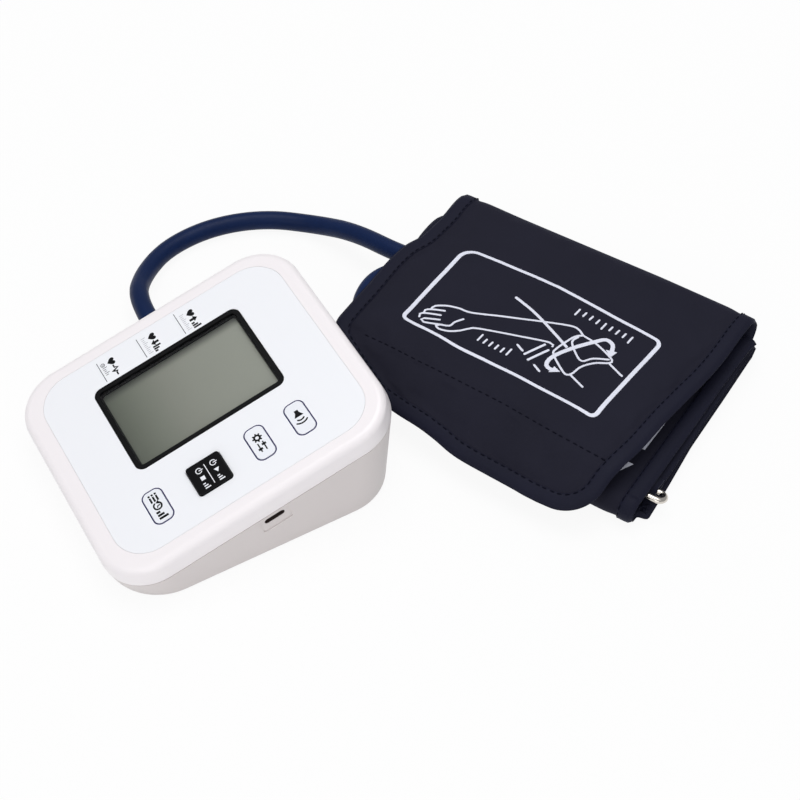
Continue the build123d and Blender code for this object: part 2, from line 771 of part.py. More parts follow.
def fold(b, z, outer, inner, far, width=cuff_width):
    """Half a tube along the stack's width, closed towards the far or the near side."""
    ring = Circle(outer) - Circle(inner)
    sign = -1 if far else 1
    half = ring & Pos(sign * outer, 0) * Rectangle(2 * outer, 4 * outer)
    return extrude(side_plane.location * Pos(b, z) * half, amount=width, dir=-across)


def across_shift(shape):
    """Moves a piece of the lower layers to the right, as they lie."""
    offset = across * lower_shift
    return Pos(offset.X, offset.Y, offset.Z) * shape


def bar(b, z, radius, a0, a1):
    """Round bar along the stack's width."""
    disc = Plane(origin=in_stack(a0, b, z), z_dir=across) * Circle(radius)
    return extrude(disc, amount=a1 - a0, dir=across)


middle_top = middle_level + cloth
ring_z = ring_level + cloth / 2
flap_level = hose_top_level + hose_radius + soft_gap
fold_outer = (flap_level + cloth - middle_level) / 2
fold_z = middle_level + fold_outer
near_outer = middle_top / 2


def make_ring_panel():
    """Layer that ends in the hem round the wire ring, with its far fold."""
    hem_outer = ring_wire + hem_play + hem_wall
    left = lower_shift
    right = lower_shift + cuff_width
    panel = layer(0, ring_bar_depth - ring_wire, ring_level, ring_level + cloth, left, right)
    panel += bar(ring_bar_depth, ring_z, hem_outer, left, right)
    panel -= bar(ring_bar_depth, ring_z, ring_wire + hem_play, left - 1, right + 1)
    outer = (ring_level + cloth) / 2
    return panel + across_shift(fold(0, outer, outer, outer - cloth, True))


def make_bladder_panel():
    """Bottom layer: two plies with the bladder's pocket between them."""
    near_start = cuff_depth - near_outer
    left = lower_shift
    right = lower_shift + cuff_width
    panel = layer(0, lower_end, 0, cloth, left, right) + layer(lower_end - 1, near_start, 0, cloth, left, cuff_width)
    panel += layer(1.0, bladder_end + 4, 0, bladder_layer, left, right)
    low = (bladder_layer - bladder_thick) / 2
    pocket = layer(bladder_margin - 1, bladder_end + 1, low - soft_gap, low + bladder_thick + soft_gap,
                   left + bladder_margin - 1, right - bladder_margin + 1)
    return panel - pocket


def make_bladder():
    low = (bladder_layer - bladder_thick) / 2
    left = lower_shift + bladder_margin
    right = lower_shift + cuff_width - bladder_margin
    bag = layer(bladder_margin, bladder_end, low, low + bladder_thick, left, right)
    return fillet(bag.edges().filter_by(Axis.Z), 8)


def make_middle_panel():
    """Middle layer with the near fold that joins it to the bottom layer."""
    near_start = cuff_depth - near_outer
    return (layer(soft_gap, near_start, middle_level, middle_top)
            + fold(near_start, near_outer, near_outer, near_outer - cloth, False))


def flap_plan():
    """Plan of the top flap, a little skewed, with round near corners."""
    clear_y = rear_rim_y + flap_stand_off
    left_end = (cuff_corner[1] - clear_y + flap_left * sin(turn)) / cos(turn)
    tip_start = (flap_length * cos(turn) - cuff_corner[1] + clear_y) / sin(turn)
    tip = [(flap_left, left_end), (tip_start, flap_length), (flap_right_tip, flap_length)]
    corners = [
        (flap_left_fold, -flap_overshoot),
        (flap_left_fold, 0),
        (flap_left, flap_left_turn),
        *tip,
        (flap_right_fold, flap_right_turn),
        (flap_right_fold, -flap_overshoot),
    ]
    wire = Polyline(*[in_stack(a, b, 0) for a, b in corners], close=True)
    prism = extrude(make_face(wire), amount=2 * flap_level, dir=(0, 0, 1))
    places = [in_stack(a, b, 0) for a, b in tip]
    upright = prism.edges().filter_by(Axis.Z)
    near = [e for e in upright if min((e.center() - Vector(t.X, t.Y, e.center().Z)).length for t in places) < 1]
    return fillet(near, flap_corner)


def droop(shift, thick, start, end):
    """Sheet that follows the flap's underside, shifted up by shift."""
    fall = (flap_level - flap_end_level) / (flap_length - flap_bend)

    def level(b):
        return flap_level - max(0.0, b - flap_bend) * fall

    places = [start] + ([flap_bend] if start < flap_bend < end else []) + [end]
    low = [(b, level(b) + shift) for b in places]
    high = [(b, level(b) + shift + thick) for b in reversed(places)]
    outline = make_face(Polyline(*low, *high, close=True))
    side = Plane(origin=in_stack(cuff_width + flap_overshoot, 0, 0), x_dir=nearward, z_dir=-across)
    return extrude(side.location * outline, amount=cuff_width + 2 * flap_overshoot, dir=-across)


def make_flap():
    """Top flap with the far fold that carries it."""
    plan = flap_plan()
    sheet = droop(0, cloth, 0, flap_length) & plan
    return sheet + fold(0, fold_z, fold_outer, fold_outer - cloth, True)


def make_hook_patch():
    """Hook tape sewn under the flap's drooping end."""
    strip = droop(-hook_thick, hook_thick, flap_bend + hook_far_gap, flap_length - hook_near_gap)
    window = layer(0, 2 * flap_length, 0, 2 * flap_level, hook_left, hook_right)
    return strip & window & flap_plan()


def make_wire_ring():
    """Long wire loop: one side runs in the hem, the other is free."""
    span = ring_span
    left = lower_shift - ring_end_play
    right = lower_shift + cuff_width + ring_end_play
    lean = radians(ring_lift)
    out = nearward * cos(lean) + Vector(0, 0, sin(lean))
    base = in_stack(0, ring_bar_depth, ring_z)
    one = base + across * left
    two = base + across * right
    far_left = one + out * span
    far_right = two + out * span
    end_right = base + across * (right + span / 2) + out * (span / 2)
    end_left = base + across * (left - span / 2) + out * (span / 2)
    path = Wire([
        Edge.make_line(one, two),
        Edge.make_three_point_arc(two, end_right, far_right),
        Edge.make_line(far_right, far_left),
        Edge.make_three_point_arc(far_left, end_left, one),
    ])
    section = Plane(origin=one, z_dir=across) * Circle(ring_wire)
    return sweep(section, path=path)


def make_hose_collar():
    """Grommet and elbow on the middle layer that lead the hose into the bladder."""
    points = hose_points()
    end = points[-1]
    along = (points[-1] - points[-2]).normalized()
    spout = extrude(Plane(origin=end, z_dir=along) * Circle(nipple_radius), amount=8.0, dir=along)
    middle = end + along * 8.0
    foot = Pos(middle.X, middle.Y, middle_top + collar_thick / 2) * Cylinder(collar_radius, collar_thick)
    stem = Pos(middle.X, middle.Y, (middle_top + hose_top_level) / 2)
    stem = stem * Cylinder(nipple_radius, hose_top_level - middle_top)
    dome = Pos(middle.X, middle.Y, hose_top_level) * Sphere(nipple_radius)
    depth = 2 * middle_top
    floor = Pos(middle.X, middle.Y, middle_top - depth / 2) * Box(depth, depth, depth)
    return spout + foot + stem + dome - floor


# ---------------------------------------------------------------- write the nodes
def main():
    pieces = {
        "top_cover": make_top_cover,
        "bottom_case": make_bottom_case,
        "front_label": make_front_label,
        "display_bezel": make_display_bezel,
        "display_window": make_display_window,
        "lcd_glass": make_lcd_glass,
        "lcd_backlight": make_backlight,
        "lcd_carrier": make_lcd_carrier,
        "lcd_contact_strips": make_contact_strips,
        "main_board": make_main_board,
        "tact_switches": make_tact_switches,
        "board_screws": make_board_screws,
        "usb_port": make_usb_port,
        "battery_cells": make_battery_cells,
        "battery_springs": make_battery_springs,
        "battery_plates": make_battery_plates,
        "battery_door": make_battery_door,
        "speaker": make_speaker,
        "air_jack": make_air_jack,
        "air_manifold": make_air_manifold,
        "inner_tubes": make_inner_tubes,
        "pressure_sensor": make_pressure_sensor,
        "release_valve": make_release_valve,
        "pump_head": make_pump_head,
        "pump_motor": make_pump_motor,
        "pump_cradle": make_pump_cradle,
        "case_screws": make_case_screws,
        "rubber_feet": make_rubber_feet,
        "air_plug": make_air_plug,
        "air_hose": make_air_hose,
        "cuff_ring_panel": make_ring_panel,
        "cuff_bladder_panel": make_bladder_panel,
        "cuff_middle_panel": make_middle_panel,
        "cuff_flap": make_flap,
        "hook_patch": make_hook_patch,
        "air_bladder": make_bladder,
        "cuff_ring": make_wire_ring,
        "hose_collar": make_hose_collar,
    }
    for name, make in pieces.items():
        keep(name, make())
    for name in key_rows:
        keep(f"{name}_key", make_key(name))
        keep(f"{name}_switch_plunger", make_plunger(name))


main()
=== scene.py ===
"""Upper arm blood pressure monitor with its folded cuff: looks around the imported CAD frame."""
from math import copysign, cos, exp, pi, radians, sin, tan

import bmesh
import bpy
import numpy as np
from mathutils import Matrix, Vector, noise
from mathutils.bvhtree import BVHTree


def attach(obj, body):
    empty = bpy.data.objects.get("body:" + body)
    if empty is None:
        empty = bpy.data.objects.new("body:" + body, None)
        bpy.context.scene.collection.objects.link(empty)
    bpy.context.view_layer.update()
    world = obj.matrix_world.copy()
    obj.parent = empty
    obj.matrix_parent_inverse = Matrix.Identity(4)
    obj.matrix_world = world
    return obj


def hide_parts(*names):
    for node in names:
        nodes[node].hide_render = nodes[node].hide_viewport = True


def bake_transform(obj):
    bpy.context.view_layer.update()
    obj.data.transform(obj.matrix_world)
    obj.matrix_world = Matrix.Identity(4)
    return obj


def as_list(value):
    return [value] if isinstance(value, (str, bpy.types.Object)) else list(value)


MM = 0.001

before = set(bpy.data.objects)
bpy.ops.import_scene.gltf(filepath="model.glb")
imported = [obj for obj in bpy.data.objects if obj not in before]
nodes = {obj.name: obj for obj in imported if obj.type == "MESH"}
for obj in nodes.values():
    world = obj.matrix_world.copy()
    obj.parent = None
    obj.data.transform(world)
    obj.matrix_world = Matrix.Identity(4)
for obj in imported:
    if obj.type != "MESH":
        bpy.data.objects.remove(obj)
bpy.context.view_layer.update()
SCENE = bpy.context.scene

# ---- frames of the object
FACE_TILT = radians(14.3)
FACE_MID = Vector((0.0, -2.5, 32.2))
FACE_U = Vector((1.0, 0.0, 0.0))
FACE_V = Vector((0.0, cos(FACE_TILT), sin(FACE_TILT)))
FACE_N = Vector((0.0, -sin(FACE_TILT), cos(FACE_TILT)))

CUFF_TURN = radians(27.7)
CUFF_CORNER = Vector((-54.0, 147.5, 0.0))
ACROSS = Vector((cos(CUFF_TURN), sin(CUFF_TURN), 0.0))
NEARWARD = Vector((sin(CUFF_TURN), -cos(CUFF_TURN), 0.0))


def on_face(u, v, n=0.0):
    """A place on the monitor's face, in metres."""
    return (FACE_MID + FACE_U * u + FACE_V * v + FACE_N * n) * MM


def in_stack(a, b, z):
    """A place in the cuff's stack, in metres: a across it, b from its far edge."""
    return (CUFF_CORNER + ACROSS * a + NEARWARD * b + Vector((0, 0, z))) * MM


def put(name, data):
    """A new object in the scene."""
    thing = bpy.data.objects.new(name, data)
    SCENE.collection.objects.link(thing)
    return thing


def give(thing, **values):
    """Sets a thing's attributes."""
    for key, value in values.items():
        setattr(thing, key, value)
    return thing


# ---- materials
def srgb(*colour):
    """Display colour (0 to 255) as linear."""
    return (*(c / 12.92 if c <= 0.04045 else ((c + 0.055) / 1.055) ** 2.4 for c in (c / 255.0 for c in colour)), 1.0)


class Nodes:
    """The nodes of a new material or world: adds them, fills their sockets and links them."""

    def __init__(self, name, kind="materials", output="OutputMaterial"):
        self.owner = getattr(bpy.data, kind).new(name)
        self.owner.use_nodes = True
        self.tree = self.owner.node_tree
        self.tree.nodes.clear()
        self.out = self.add(output)

    def add(self, kind, *inputs, props=(), **sockets):
        """Adds a node and fills its sockets, in order or by name."""
        node = give(self.tree.nodes.new("ShaderNode" + kind), **dict(props))
        named = {name.replace("_", " "): value for name, value in sockets.items()}
        for key, value in [*enumerate(inputs), *named.items()]:
            self.fill(node.inputs[key], value)
        return node

    def fill(self, socket, value):
        """Gives a socket a value, or another node's output."""
        if isinstance(value, bpy.types.NodeSocket):
            self.tree.links.new(value, socket)
        else:
            socket.default_value = value

    def shader(self, colour, roughness, **sockets):
        """The surface's main shader; gives its sockets."""
        bsdf = self.add("BsdfPrincipled", Base_Color=colour, Roughness=roughness, **sockets)
        self.fill(self.out.inputs["Surface"], bsdf.outputs[0])
        return bsdf.inputs

    def show_mix(self, factor, one, two):
        """Shows a mix of two shaders."""
        both = self.add("MixShader", factor, one.outputs[0], two.outputs[0])
        self.fill(self.out.inputs["Surface"], both.outputs[0])

    def math(self, operation, one, two):
        return self.add("Math", one, two, props={"operation": operation}).outputs[0]

    def place(self, **changed):
        """Object coordinates, with a Scale or Rotation if it is given."""
        return self.add("Mapping", self.add("TexCoord").outputs["Object"], **changed).outputs[0]

    def noise(self, vector, scale, detail=3.0):
        return self.add("TexNoise", Vector=vector, Scale=scale, Detail=detail, Roughness=0.55).outputs["Fac"]

    def ranged(self, value, start, end, low, high, **props):
        """Maps start..end to low..high."""
        return self.add("MapRange", value, start, end, low, high, props=props).outputs[0]

    def spread(self, value, low, high):
        """Maps the usual range of a noise to low..high."""
        return self.ranged(value, 0.25, 0.75, low, high)

    def mix(self, factor, one, two):
        """Mixes two colours by a value."""
        return self.add("Mix", Factor=factor, A=one, B=two, props={"data_type": "RGBA"}).outputs["Result"]

    def bump(self, bsdf, height, strength, distance=0.0001):
        node = self.add("Bump", Strength=strength, Distance=distance, Height=height)
        self.fill(bsdf["Normal"], node.outputs[0])


def moulded(name, colour, roughness, grain=0.04, tone=0.03, coat=0.0, shine=0.5):
    """Injection-moulded plastic: fine spark-eroded grain, faint colour drift."""
    m = Nodes(name)
    bsdf = m.shader(colour, roughness, Coat_Weight=coat, Coat_Roughness=0.12, Specular_IOR_Level=shine)
    place = m.place()
    darker = tuple(c * (1 - tone) for c in colour[:3]) + (1.0,)
    m.fill(bsdf["Base Color"], m.mix(m.spread(m.noise(place, 45.0, 2.0), 0, 1), colour, darker))
    if grain > 0:
        m.fill(bsdf["Roughness"], m.spread(m.noise(place, 900.0), roughness - 0.05, roughness + 0.05))
        m.bump(bsdf, m.noise(place, 5500.0, 2.0), grain)
    return m.owner


def metal(name, colour, roughness):
    """Plated or drawn metal with fine scratches along one direction."""
    m = Nodes(name)
    bsdf = m.shader(colour, roughness, Metallic=1.0)
    streaks = m.noise(m.place(Scale=(300, 300, 4000)), 1.0, 4.0)
    m.fill(bsdf["Roughness"], m.spread(streaks, roughness - 0.06, roughness + 0.08))
    m.bump(bsdf, m.noise(m.place(), 700.0), 0.05)
    return m.owner


def rubber_hose():
    """Extruded navy tube: satin skin with faint bloom."""
    m = Nodes("hose_navy")
    bsdf = m.shader(srgb(13, 32, 70), 0.45, Specular_IOR_Level=0.13)
    place = m.place()
    drift = m.spread(m.noise(place, 60.0), 0, 1)
    m.fill(bsdf["Base Color"], m.mix(drift, srgb(12, 30, 67), srgb(15, 35, 75)))
    m.fill(bsdf["Roughness"], m.spread(m.noise(place, 500.0), 0.36, 0.5))
    m.bump(bsdf, m.noise(place, 1800.0), 0.08)
    return m.owner


def window_clear():
    """Clear acrylic: see-through, with a Fresnel sheen on its outer sides."""
    m = Nodes("window_clear")
    clear = m.add("BsdfTransparent", Color=(0.97, 0.98, 0.98, 1))
    gloss = m.add("BsdfGlossy", Roughness=0.05)
    fresnel = m.add("Fresnel", IOR=1.45)
    front = m.math("SUBTRACT", 1.0, m.add("NewGeometry").outputs["Backfacing"])
    m.show_mix(m.math("MULTIPLY", fresnel.outputs[0], front), clear, gloss)
    return m.owner


def lcd_panel():
    """Blank reflective liquid crystal glass: grey-green, with painted shade that darkens it towards its near end and
    a painted shadow of the bezel along its left edge.
    """
    m = Nodes("lcd_grey")
    bsdf = m.shader(srgb(154, 154, 143), 0.4, Specular_IOR_Level=0.3)
    split = m.add("SeparateXYZ", m.add("TexCoord").outputs["Generated"])
    # painted shade: the colour darkens along Y towards the glass's near end
    ramp = m.add("ValToRGB", split.outputs["Y"])
    stops = ramp.color_ramp.elements
    stops[0].position, stops[0].color = 0.05, srgb(101, 104, 93)
    stops[1].position, stops[1].color = 0.95, srgb(154, 154, 144)
    for position, colour in ((0.22, srgb(122, 124, 113)), (0.38, srgb(137, 137, 127)), (0.55, srgb(146, 146, 136))):
        stops.new(position).color = colour
    # painted shadow of the bezel: a dark band along the left edge, at low X
    edge = m.ranged(split.outputs["X"], 0.0, 0.13, 0.8, 0.0, interpolation_type="SMOOTHSTEP")
    shaded = m.mix(edge, ramp.outputs[0], srgb(38, 39, 40))
    place = m.place()
    cloud = m.spread(m.noise(place, 25.0, 2.0), 0, 0.04)
    m.fill(bsdf["Base Color"], m.mix(cloud, shaded, srgb(110, 112, 103)))
    m.bump(bsdf, m.noise(place, 6000.0), 0.03)
    return m.owner


def paint(names, material):
    """Gives CAD nodes a material."""
    for name in names.split():
        nodes[name].data.materials.clear()
        nodes[name].data.materials.append(material)


HOSE_NAVY = rubber_hose()
LCD_GREY = lcd_panel()
# Dark tone of the charging port, also used as the painted shade that lines its slot.
PORT_DARK_AND_SLOT_SHADE = moulded("port_dark_and_slot_shade", srgb(62, 52, 50), 0.6, shine=0.1)
paint("top_cover", moulded("cover_white", srgb(245, 240, 242), 0.34, grain=0.02, tone=0.01, coat=0.1))
# The case's white is darker than the cover's white: painted shade on its side walls.
paint("bottom_case battery_door", moulded("case_white", srgb(217, 210, 209), 0.4, tone=0.015))
paint("front_label", moulded("label_white", srgb(242, 243, 247), 0.3, grain=0.0, tone=0.0, coat=0.1))
paint("display_bezel air_jack", moulded("black_plastic", srgb(7, 7, 9), 0.42, grain=0.01, shine=0.14))
paint("start_key", moulded("key_black", srgb(7, 7, 10), 0.36, grain=0.01, shine=0.12))
paint("memory_key settings_key voice_key", moulded("key_white", srgb(238, 240, 246), 0.33, grain=0.05))
paint("display_window", window_clear())
paint("lcd_glass", LCD_GREY)
paint("lcd_backlight lcd_carrier", moulded("diffuser", srgb(225, 226, 220), 0.5))
paint("lcd_contact_strips speaker pump_head tact_switches pressure_sensor air_manifold memory_switch_plunger "
      "start_switch_plunger settings_switch_plunger voice_switch_plunger air_bladder hook_patch",
      moulded("dark_moulding", srgb(40, 40, 44), 0.5))
paint("usb_port", PORT_DARK_AND_SLOT_SHADE)
paint("main_board", moulded("green_board", srgb(30, 92, 58), 0.35, coat=0.3))
paint("board_screws case_screws battery_springs battery_plates release_valve pump_motor",
      metal("steel", srgb(190, 190, 192), 0.3))
paint("battery_cells", moulded("cell_wrap", srgb(96, 104, 116), 0.25, coat=0.4))
paint("inner_tubes", moulded("silicone", srgb(222, 222, 214), 0.35))
paint("pump_cradle", moulded("foam", srgb(70, 70, 74), 0.9, grain=0.5))
paint("rubber_feet", moulded("foot_rubber", srgb(120, 120, 122), 0.75, grain=0.2))
paint("air_plug hose_collar", moulded("plug_navy", srgb(26, 40, 72), 0.42, grain=0.1))
paint("cuff_ring", metal("nickel", srgb(214, 208, 200), 0.16))

# ---- air hose
HOSE_DIAMETER = 8.0
HOSE_LOW = 4.3
HOSE_HIGH = 17.3
JACK = (-63.3, 4.8, 12.0)


def hose_route():
    """The hose's points, the same as the model's: round behind the monitor and in under the flap."""
    on_table = [
        JACK, (-79.5, 4.8, 12.0), (-95.6, 14.4, 6.3), (-107.0, 30.6, HOSE_LOW), (-109.0, 53.0, HOSE_LOW),
        (-102.1, 75.2, HOSE_LOW), (-88.0, 92.8, HOSE_LOW), (-67.8, 101.5, 13.0),
    ]
    in_cuff = [
        (-7.6, 38.4), (8.0, 35.5), (20.5, 20.0), (37.0, 13.0), (57.0, 11.5), (84.0, 13.0), (106.0, 24.0),
        (116.5, 46.0), (110.0, 70.0), (91.0, 83.5), (64.0, 84.5), (35.0, 83.6), (11.0, 82.6), (-2.5, 77.0),
        (-8.4, 66.5), (-8.8, 54.6), (-2.6, 45.6), (9.0, 43.8), (20.0, 40.6), (29.5, 32.7),
    ]
    return [Vector(p) * MM for p in on_table] + [in_stack(a, b, HOSE_HIGH) for a, b in in_cuff]


def make_hose():
    points = hose_route()
    curve = give(bpy.data.curves.new("air_hose_tube", "CURVE"), dimensions="3D", use_fill_caps=True,
                 bevel_depth=HOSE_DIAMETER / 2 * MM, bevel_resolution=8)
    spline = curve.splines.new("NURBS")
    spline.points.add(len(points) - 1)
    for target, point in zip(spline.points, points):
        target.co = (*point, 1.0)
    give(spline, order_u=3, use_endpoint_u=True, resolution_u=16)
    curve.materials.append(HOSE_NAVY)
    hose = put("air_hose_tube", curve)
    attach(hose, "folded_cuff")
    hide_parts("air_hose")


make_hose()

# ---- cuff: sizes
CUFF_WIDTH = 135.0
LOWER_LEFT = 3.2
LOWER_RIGHT = 2.0
LOWER_END = 92.3
HALF_CLOTH = 1.2
BOTTOM_MID = 1.2
RING_MID = 7.2
MIDDLE_MID = 11.8
FLAP_MID = 22.8
RING_BAR = 82.5
NEAR_START = 93.3
FLAP_BEND = 91.0
FLAP_TIP = 114.1
FLAP_DROOP = radians(26.7)
BEND_RADIUS = 25.0
SEAM_B = 88.0
SEAM_SKEW = 3.2
BINDING = 6.2
PINCH = 0.72           # half thickness of the cloth under its binding
STITCH_LENGTH = 2.0
STITCH_PITCH = 3.1
THREAD = 0.26          # half thickness of the thread
STITCH_INSET = BINDING - 0.55
STITCH_RISE = PINCH + 0.5
RIM_STEPS = (0.0, 0.5, 1.2, 2.4, 4.0, 5.4, 6.4, 7.2, 8.2, 9.6, 11.6, 14.5)
TAPE_SECTION = ((BINDING, 0.18), (BINDING - 0.35, 0.5), (4.4, 0.58), (2.6, 0.56), (1.0, 0.42), (0.1, 0.12),
                (-0.3, -0.35))


def ease(x, low, high):
    t = min(max((x - low) / (high - low), 0.0), 1.0)
    return t * t * (3 - 2 * t)


class Path:
    """A strip's centre line in the stack's upright plane: straight runs and arcs."""

    def __init__(self, b, z, heading):
        self.parts = []
        self.b, self.z, self.heading, self.length = b, z, radians(heading), 0.0

    def run(self, length):
        self.parts.append((self.length, self.b, self.z, self.heading, 0.0))
        self.b += length * cos(self.heading)
        self.z += length * sin(self.heading)
        self.length += length
        return self

    def arc(self, radius, angle):
        """Turns by an angle in radians, to the left if it is positive."""
        bend = copysign(1 / radius, angle)
        self.parts.append((self.length, self.b, self.z, self.heading, bend))
        self.b += (sin(self.heading + angle) - sin(self.heading)) / bend
        self.z -= (cos(self.heading + angle) - cos(self.heading)) / bend
        self.heading += angle
        self.length += radius * abs(angle)
        return self

    def at(self, s):
        """Place (b, z) and heading at a length along the path."""
        start, b, z, heading, bend = next(p for p in reversed(self.parts) if s >= p[0] or p is self.parts[0])
        way = s - start
        if bend == 0.0:
            return b + way * cos(heading), z + way * sin(heading), heading
        turned = heading + bend * way
        return (b + (sin(turned) - sin(heading)) / bend,
                z - (cos(turned) - cos(heading)) / bend, turned)


def folded(path, lift):
    """Gives the function that says where a point of a strip's flat cut lies once it is folded."""
    def place(s, a, h):
        b, z, heading = path.at(s)
        h += lift(s, a)
        return in_stack(a, b - sin(heading) * h, z + cos(heading) * h)
    return place


def rounded(corners, radii, step=1.2):
    """Open polyline through the corners, each rounded to its radius."""
    points = [Vector(corners[0])]
    for i in range(1, len(corners) - 1):
        here = Vector(corners[i])
        back = (Vector(corners[i - 1]) - here).normalized()
        ahead = (Vector(corners[i + 1]) - here).normalized()
        radius = radii[i - 1]
        half = back.angle(ahead) / 2
        if half > radians(89.9):
            points.append(here)
            continue
        reach = radius / tan(half)
        centre = here + (back + ahead).normalized() * (radius / sin(half))
        first = here + back * reach - centre
        last = here + ahead * reach - centre
        turn = first.angle_signed(last)
        count = max(2, int(radius * abs(turn) / step))
        for k in range(count + 1):
            angle = -turn * k / count
            spun = Vector((first.x * cos(angle) - first.y * sin(angle),
                           first.x * sin(angle) + first.y * cos(angle)))
            points.append(centre + spun)
    points.append(Vector(corners[-1]))
    return points


def soft_curve(points, step):
    """Catmull-Rom curve through flat points, resampled evenly enough."""
    pts = [Vector(p) for p in points]
    last = len(pts) - 1
    line = []
    for i in range(last):
        p0, p1, p2, p3 = (pts[min(max(i + k, 0), last)] for k in (-1, 0, 1, 2))
        pieces = max(1, int((p2 - p1).length / step))
        for k in range(pieces):
            t = k / pieces
            line.append(0.5 * (2 * p1 + (p2 - p0) * t + (2 * p0 - 5 * p1 + 4 * p2 - p3) * t * t
                               + (3 * p1 - p0 - 3 * p2 + p3) * t ** 3))
    return line + [pts[-1]]


def resample(points, step):
    """The same polyline with its long runs divided."""
    line = [points[0]]
    for one, two in zip(points, points[1:]):
        pieces = max(1, round((two - one).length / step))
        line += [one.lerp(two, k / pieces) for k in range(1, pieces + 1)]
    return line


def sides(line, closed=False):
    """Unit vectors to the left of a flat polyline, one at each of its points."""
    longer = [line[-1], *line, line[0]] if closed else [line[0], *line, line[-1]]
    return [(after - before).normalized().orthogonal() for before, after in zip(longer, longer[2:])]


def loft_faces(rings, count, base=0, closed=False):
    """Quads between rings of points, and a cap at each end unless the rings close on themselves."""
    faces = []
    for k in range(rings if closed else rings - 1):
        low, high = base + k * count, base + (k + 1) % rings * count
        for m in range(count):
            n = (m + 1) % count
            faces.append((low + m, low + n, high + n, high + m))
    if not closed:
        faces.append(tuple(base + m for m in reversed(range(count))))
        faces.append(tuple(base + (rings - 1) * count + m for m in range(count)))
    return faces


def new_mesh(name, points, faces, material, smooth=True):
    mesh = bpy.data.meshes.new(name)
    mesh.from_pydata([tuple(p) for p in points], [], faces)
    mesh.validate()
    mesh.update()
    mesh.materials.append(material)
    mesh.polygons.foreach_set("use_smooth", [smooth] * len(mesh.polygons))
    return put(name, mesh)


def solid(name, points, faces, material, body=None, smooth=True):
    """A closed mesh with its faces turned outwards, on the body that is given."""
    piece = new_mesh(name, points, faces, material, smooth)
    work = bmesh.new()
    work.from_mesh(piece.data)
    bmesh.ops.recalc_face_normals(work, faces=work.faces)
    work.to_mesh(piece.data)
    work.free()
    if body:
        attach(piece, body)
    return piece


def span(outline, s):
    """Where the outline crosses this length: its left and right edge."""
    hits = []
    for one, two in zip(outline, outline[1:]):
        low, high = min(one.x, two.x), max(one.x, two.x)
        if low - 1e-3 <= s <= high + 1e-3:
            if high - low < 2e-3:
                hits += [one.y, two.y]
            else:
                hits.append(one.y + (two.y - one.y) * (s - one.x) / (two.x - one.x))
    return min(hits), max(hits)


def edge_distance(points, outline):
    """Distance of each flat point from the outline."""
    p = np.array([tuple(q) for q in points])[:, None, :]
    a = np.array([tuple(q) for q in outline[:-1]])[None]
    d = np.array([tuple(q) for q in outline[1:]])[None] - a
    t = np.clip(((p - a) * d).sum(2) / np.maximum((d * d).sum(2), 1e-9), 0, 1)
    return np.sqrt((((a + d * t[..., None]) - p) ** 2).sum(2)).min(1)


def cloth_body(name, cloth, outline, stations, half, bays):
    """Closed padded strip. half(s, a, d) gives the heights of its upper and lower side."""
    flat = []
    for s in stations:
        left, right = span(outline, s)
        reach = min(1.0, 0.42 * (right - left) / RIM_STEPS[-1])
        rim = [u * reach for u in RIM_STEPS]
        inner = [left + rim[-1] + (right - left - 2 * rim[-1]) * k / bays for k in range(1, bays)]
        flat.append([left + u for u in rim] + inner + [right - u for u in reversed(rim)])
    across_count, along_count = len(flat[0]), len(stations)
    places = [(s, a) for s, row in zip(stations, flat) for a in row]
    distance = edge_distance(places, outline)
    points, top, bottom = [], {}, {}
    for index, (s, a) in enumerate(places):
        i, j = divmod(index, across_count)
        edge = i in (0, along_count - 1) or j in (0, across_count - 1)
        heights = [0.0] if edge else half(s, a, distance[index])
        top[i, j] = len(points)
        points += [cloth(s, a, h) for h in heights]
        bottom[i, j] = len(points) - 1
    faces = []
    for i in range(along_count - 1):
        for j in range(across_count - 1):
            corners = [(i, j), (i + 1, j), (i + 1, j + 1), (i, j + 1)]
            faces.append([top[c] for c in corners])
            faces.append([bottom[c] for c in reversed(corners)])
    return new_mesh(name, points, faces, CUFF_FABRIC), distance, places, top


def pinched(d):
    """Half thickness of the cloth where its binding grips it."""
    return PINCH * min(1.0, 0.25 + d / 1.2)


def panel_half(d):
    """Half thickness of padded cloth at a distance from its bound edge."""
    crease = BINDING + 0.9
    if d < crease:
        return pinched(d)
    return PINCH + (HALF_CLOTH - PINCH) * ease(d, crease, crease + 5.0) ** 0.6


def seam_dip(s, a):
    """1 away from the flap's sewn seam, lower in its groove."""
    return 1.0 - 0.5 * exp(-((s - seam_at(a)) / 1.6) ** 2)


def binding(name, cloth, outline, inward, body=None):
    """Tape folded over a strip's edge, along its outline."""
    line = resample(outline, 2.2)
    section = [(u, pinched(max(u, 0.0)) + h) for u, h in TAPE_SECTION]
    section += [(u, -h) for u, h in reversed(section)]
    points = []
    for here, side in zip(line, sides(line)):
        for u, h in section:
            flat = here + side * (inward * u)
            points.append(cloth(max(flat.x, 0.0), flat.y, h))
    faces = [face[::-1] if inward < 0 else face for face in loft_faces(len(line), len(section))]
    return solid(name, points, faces, CUFF_BINDING, body)


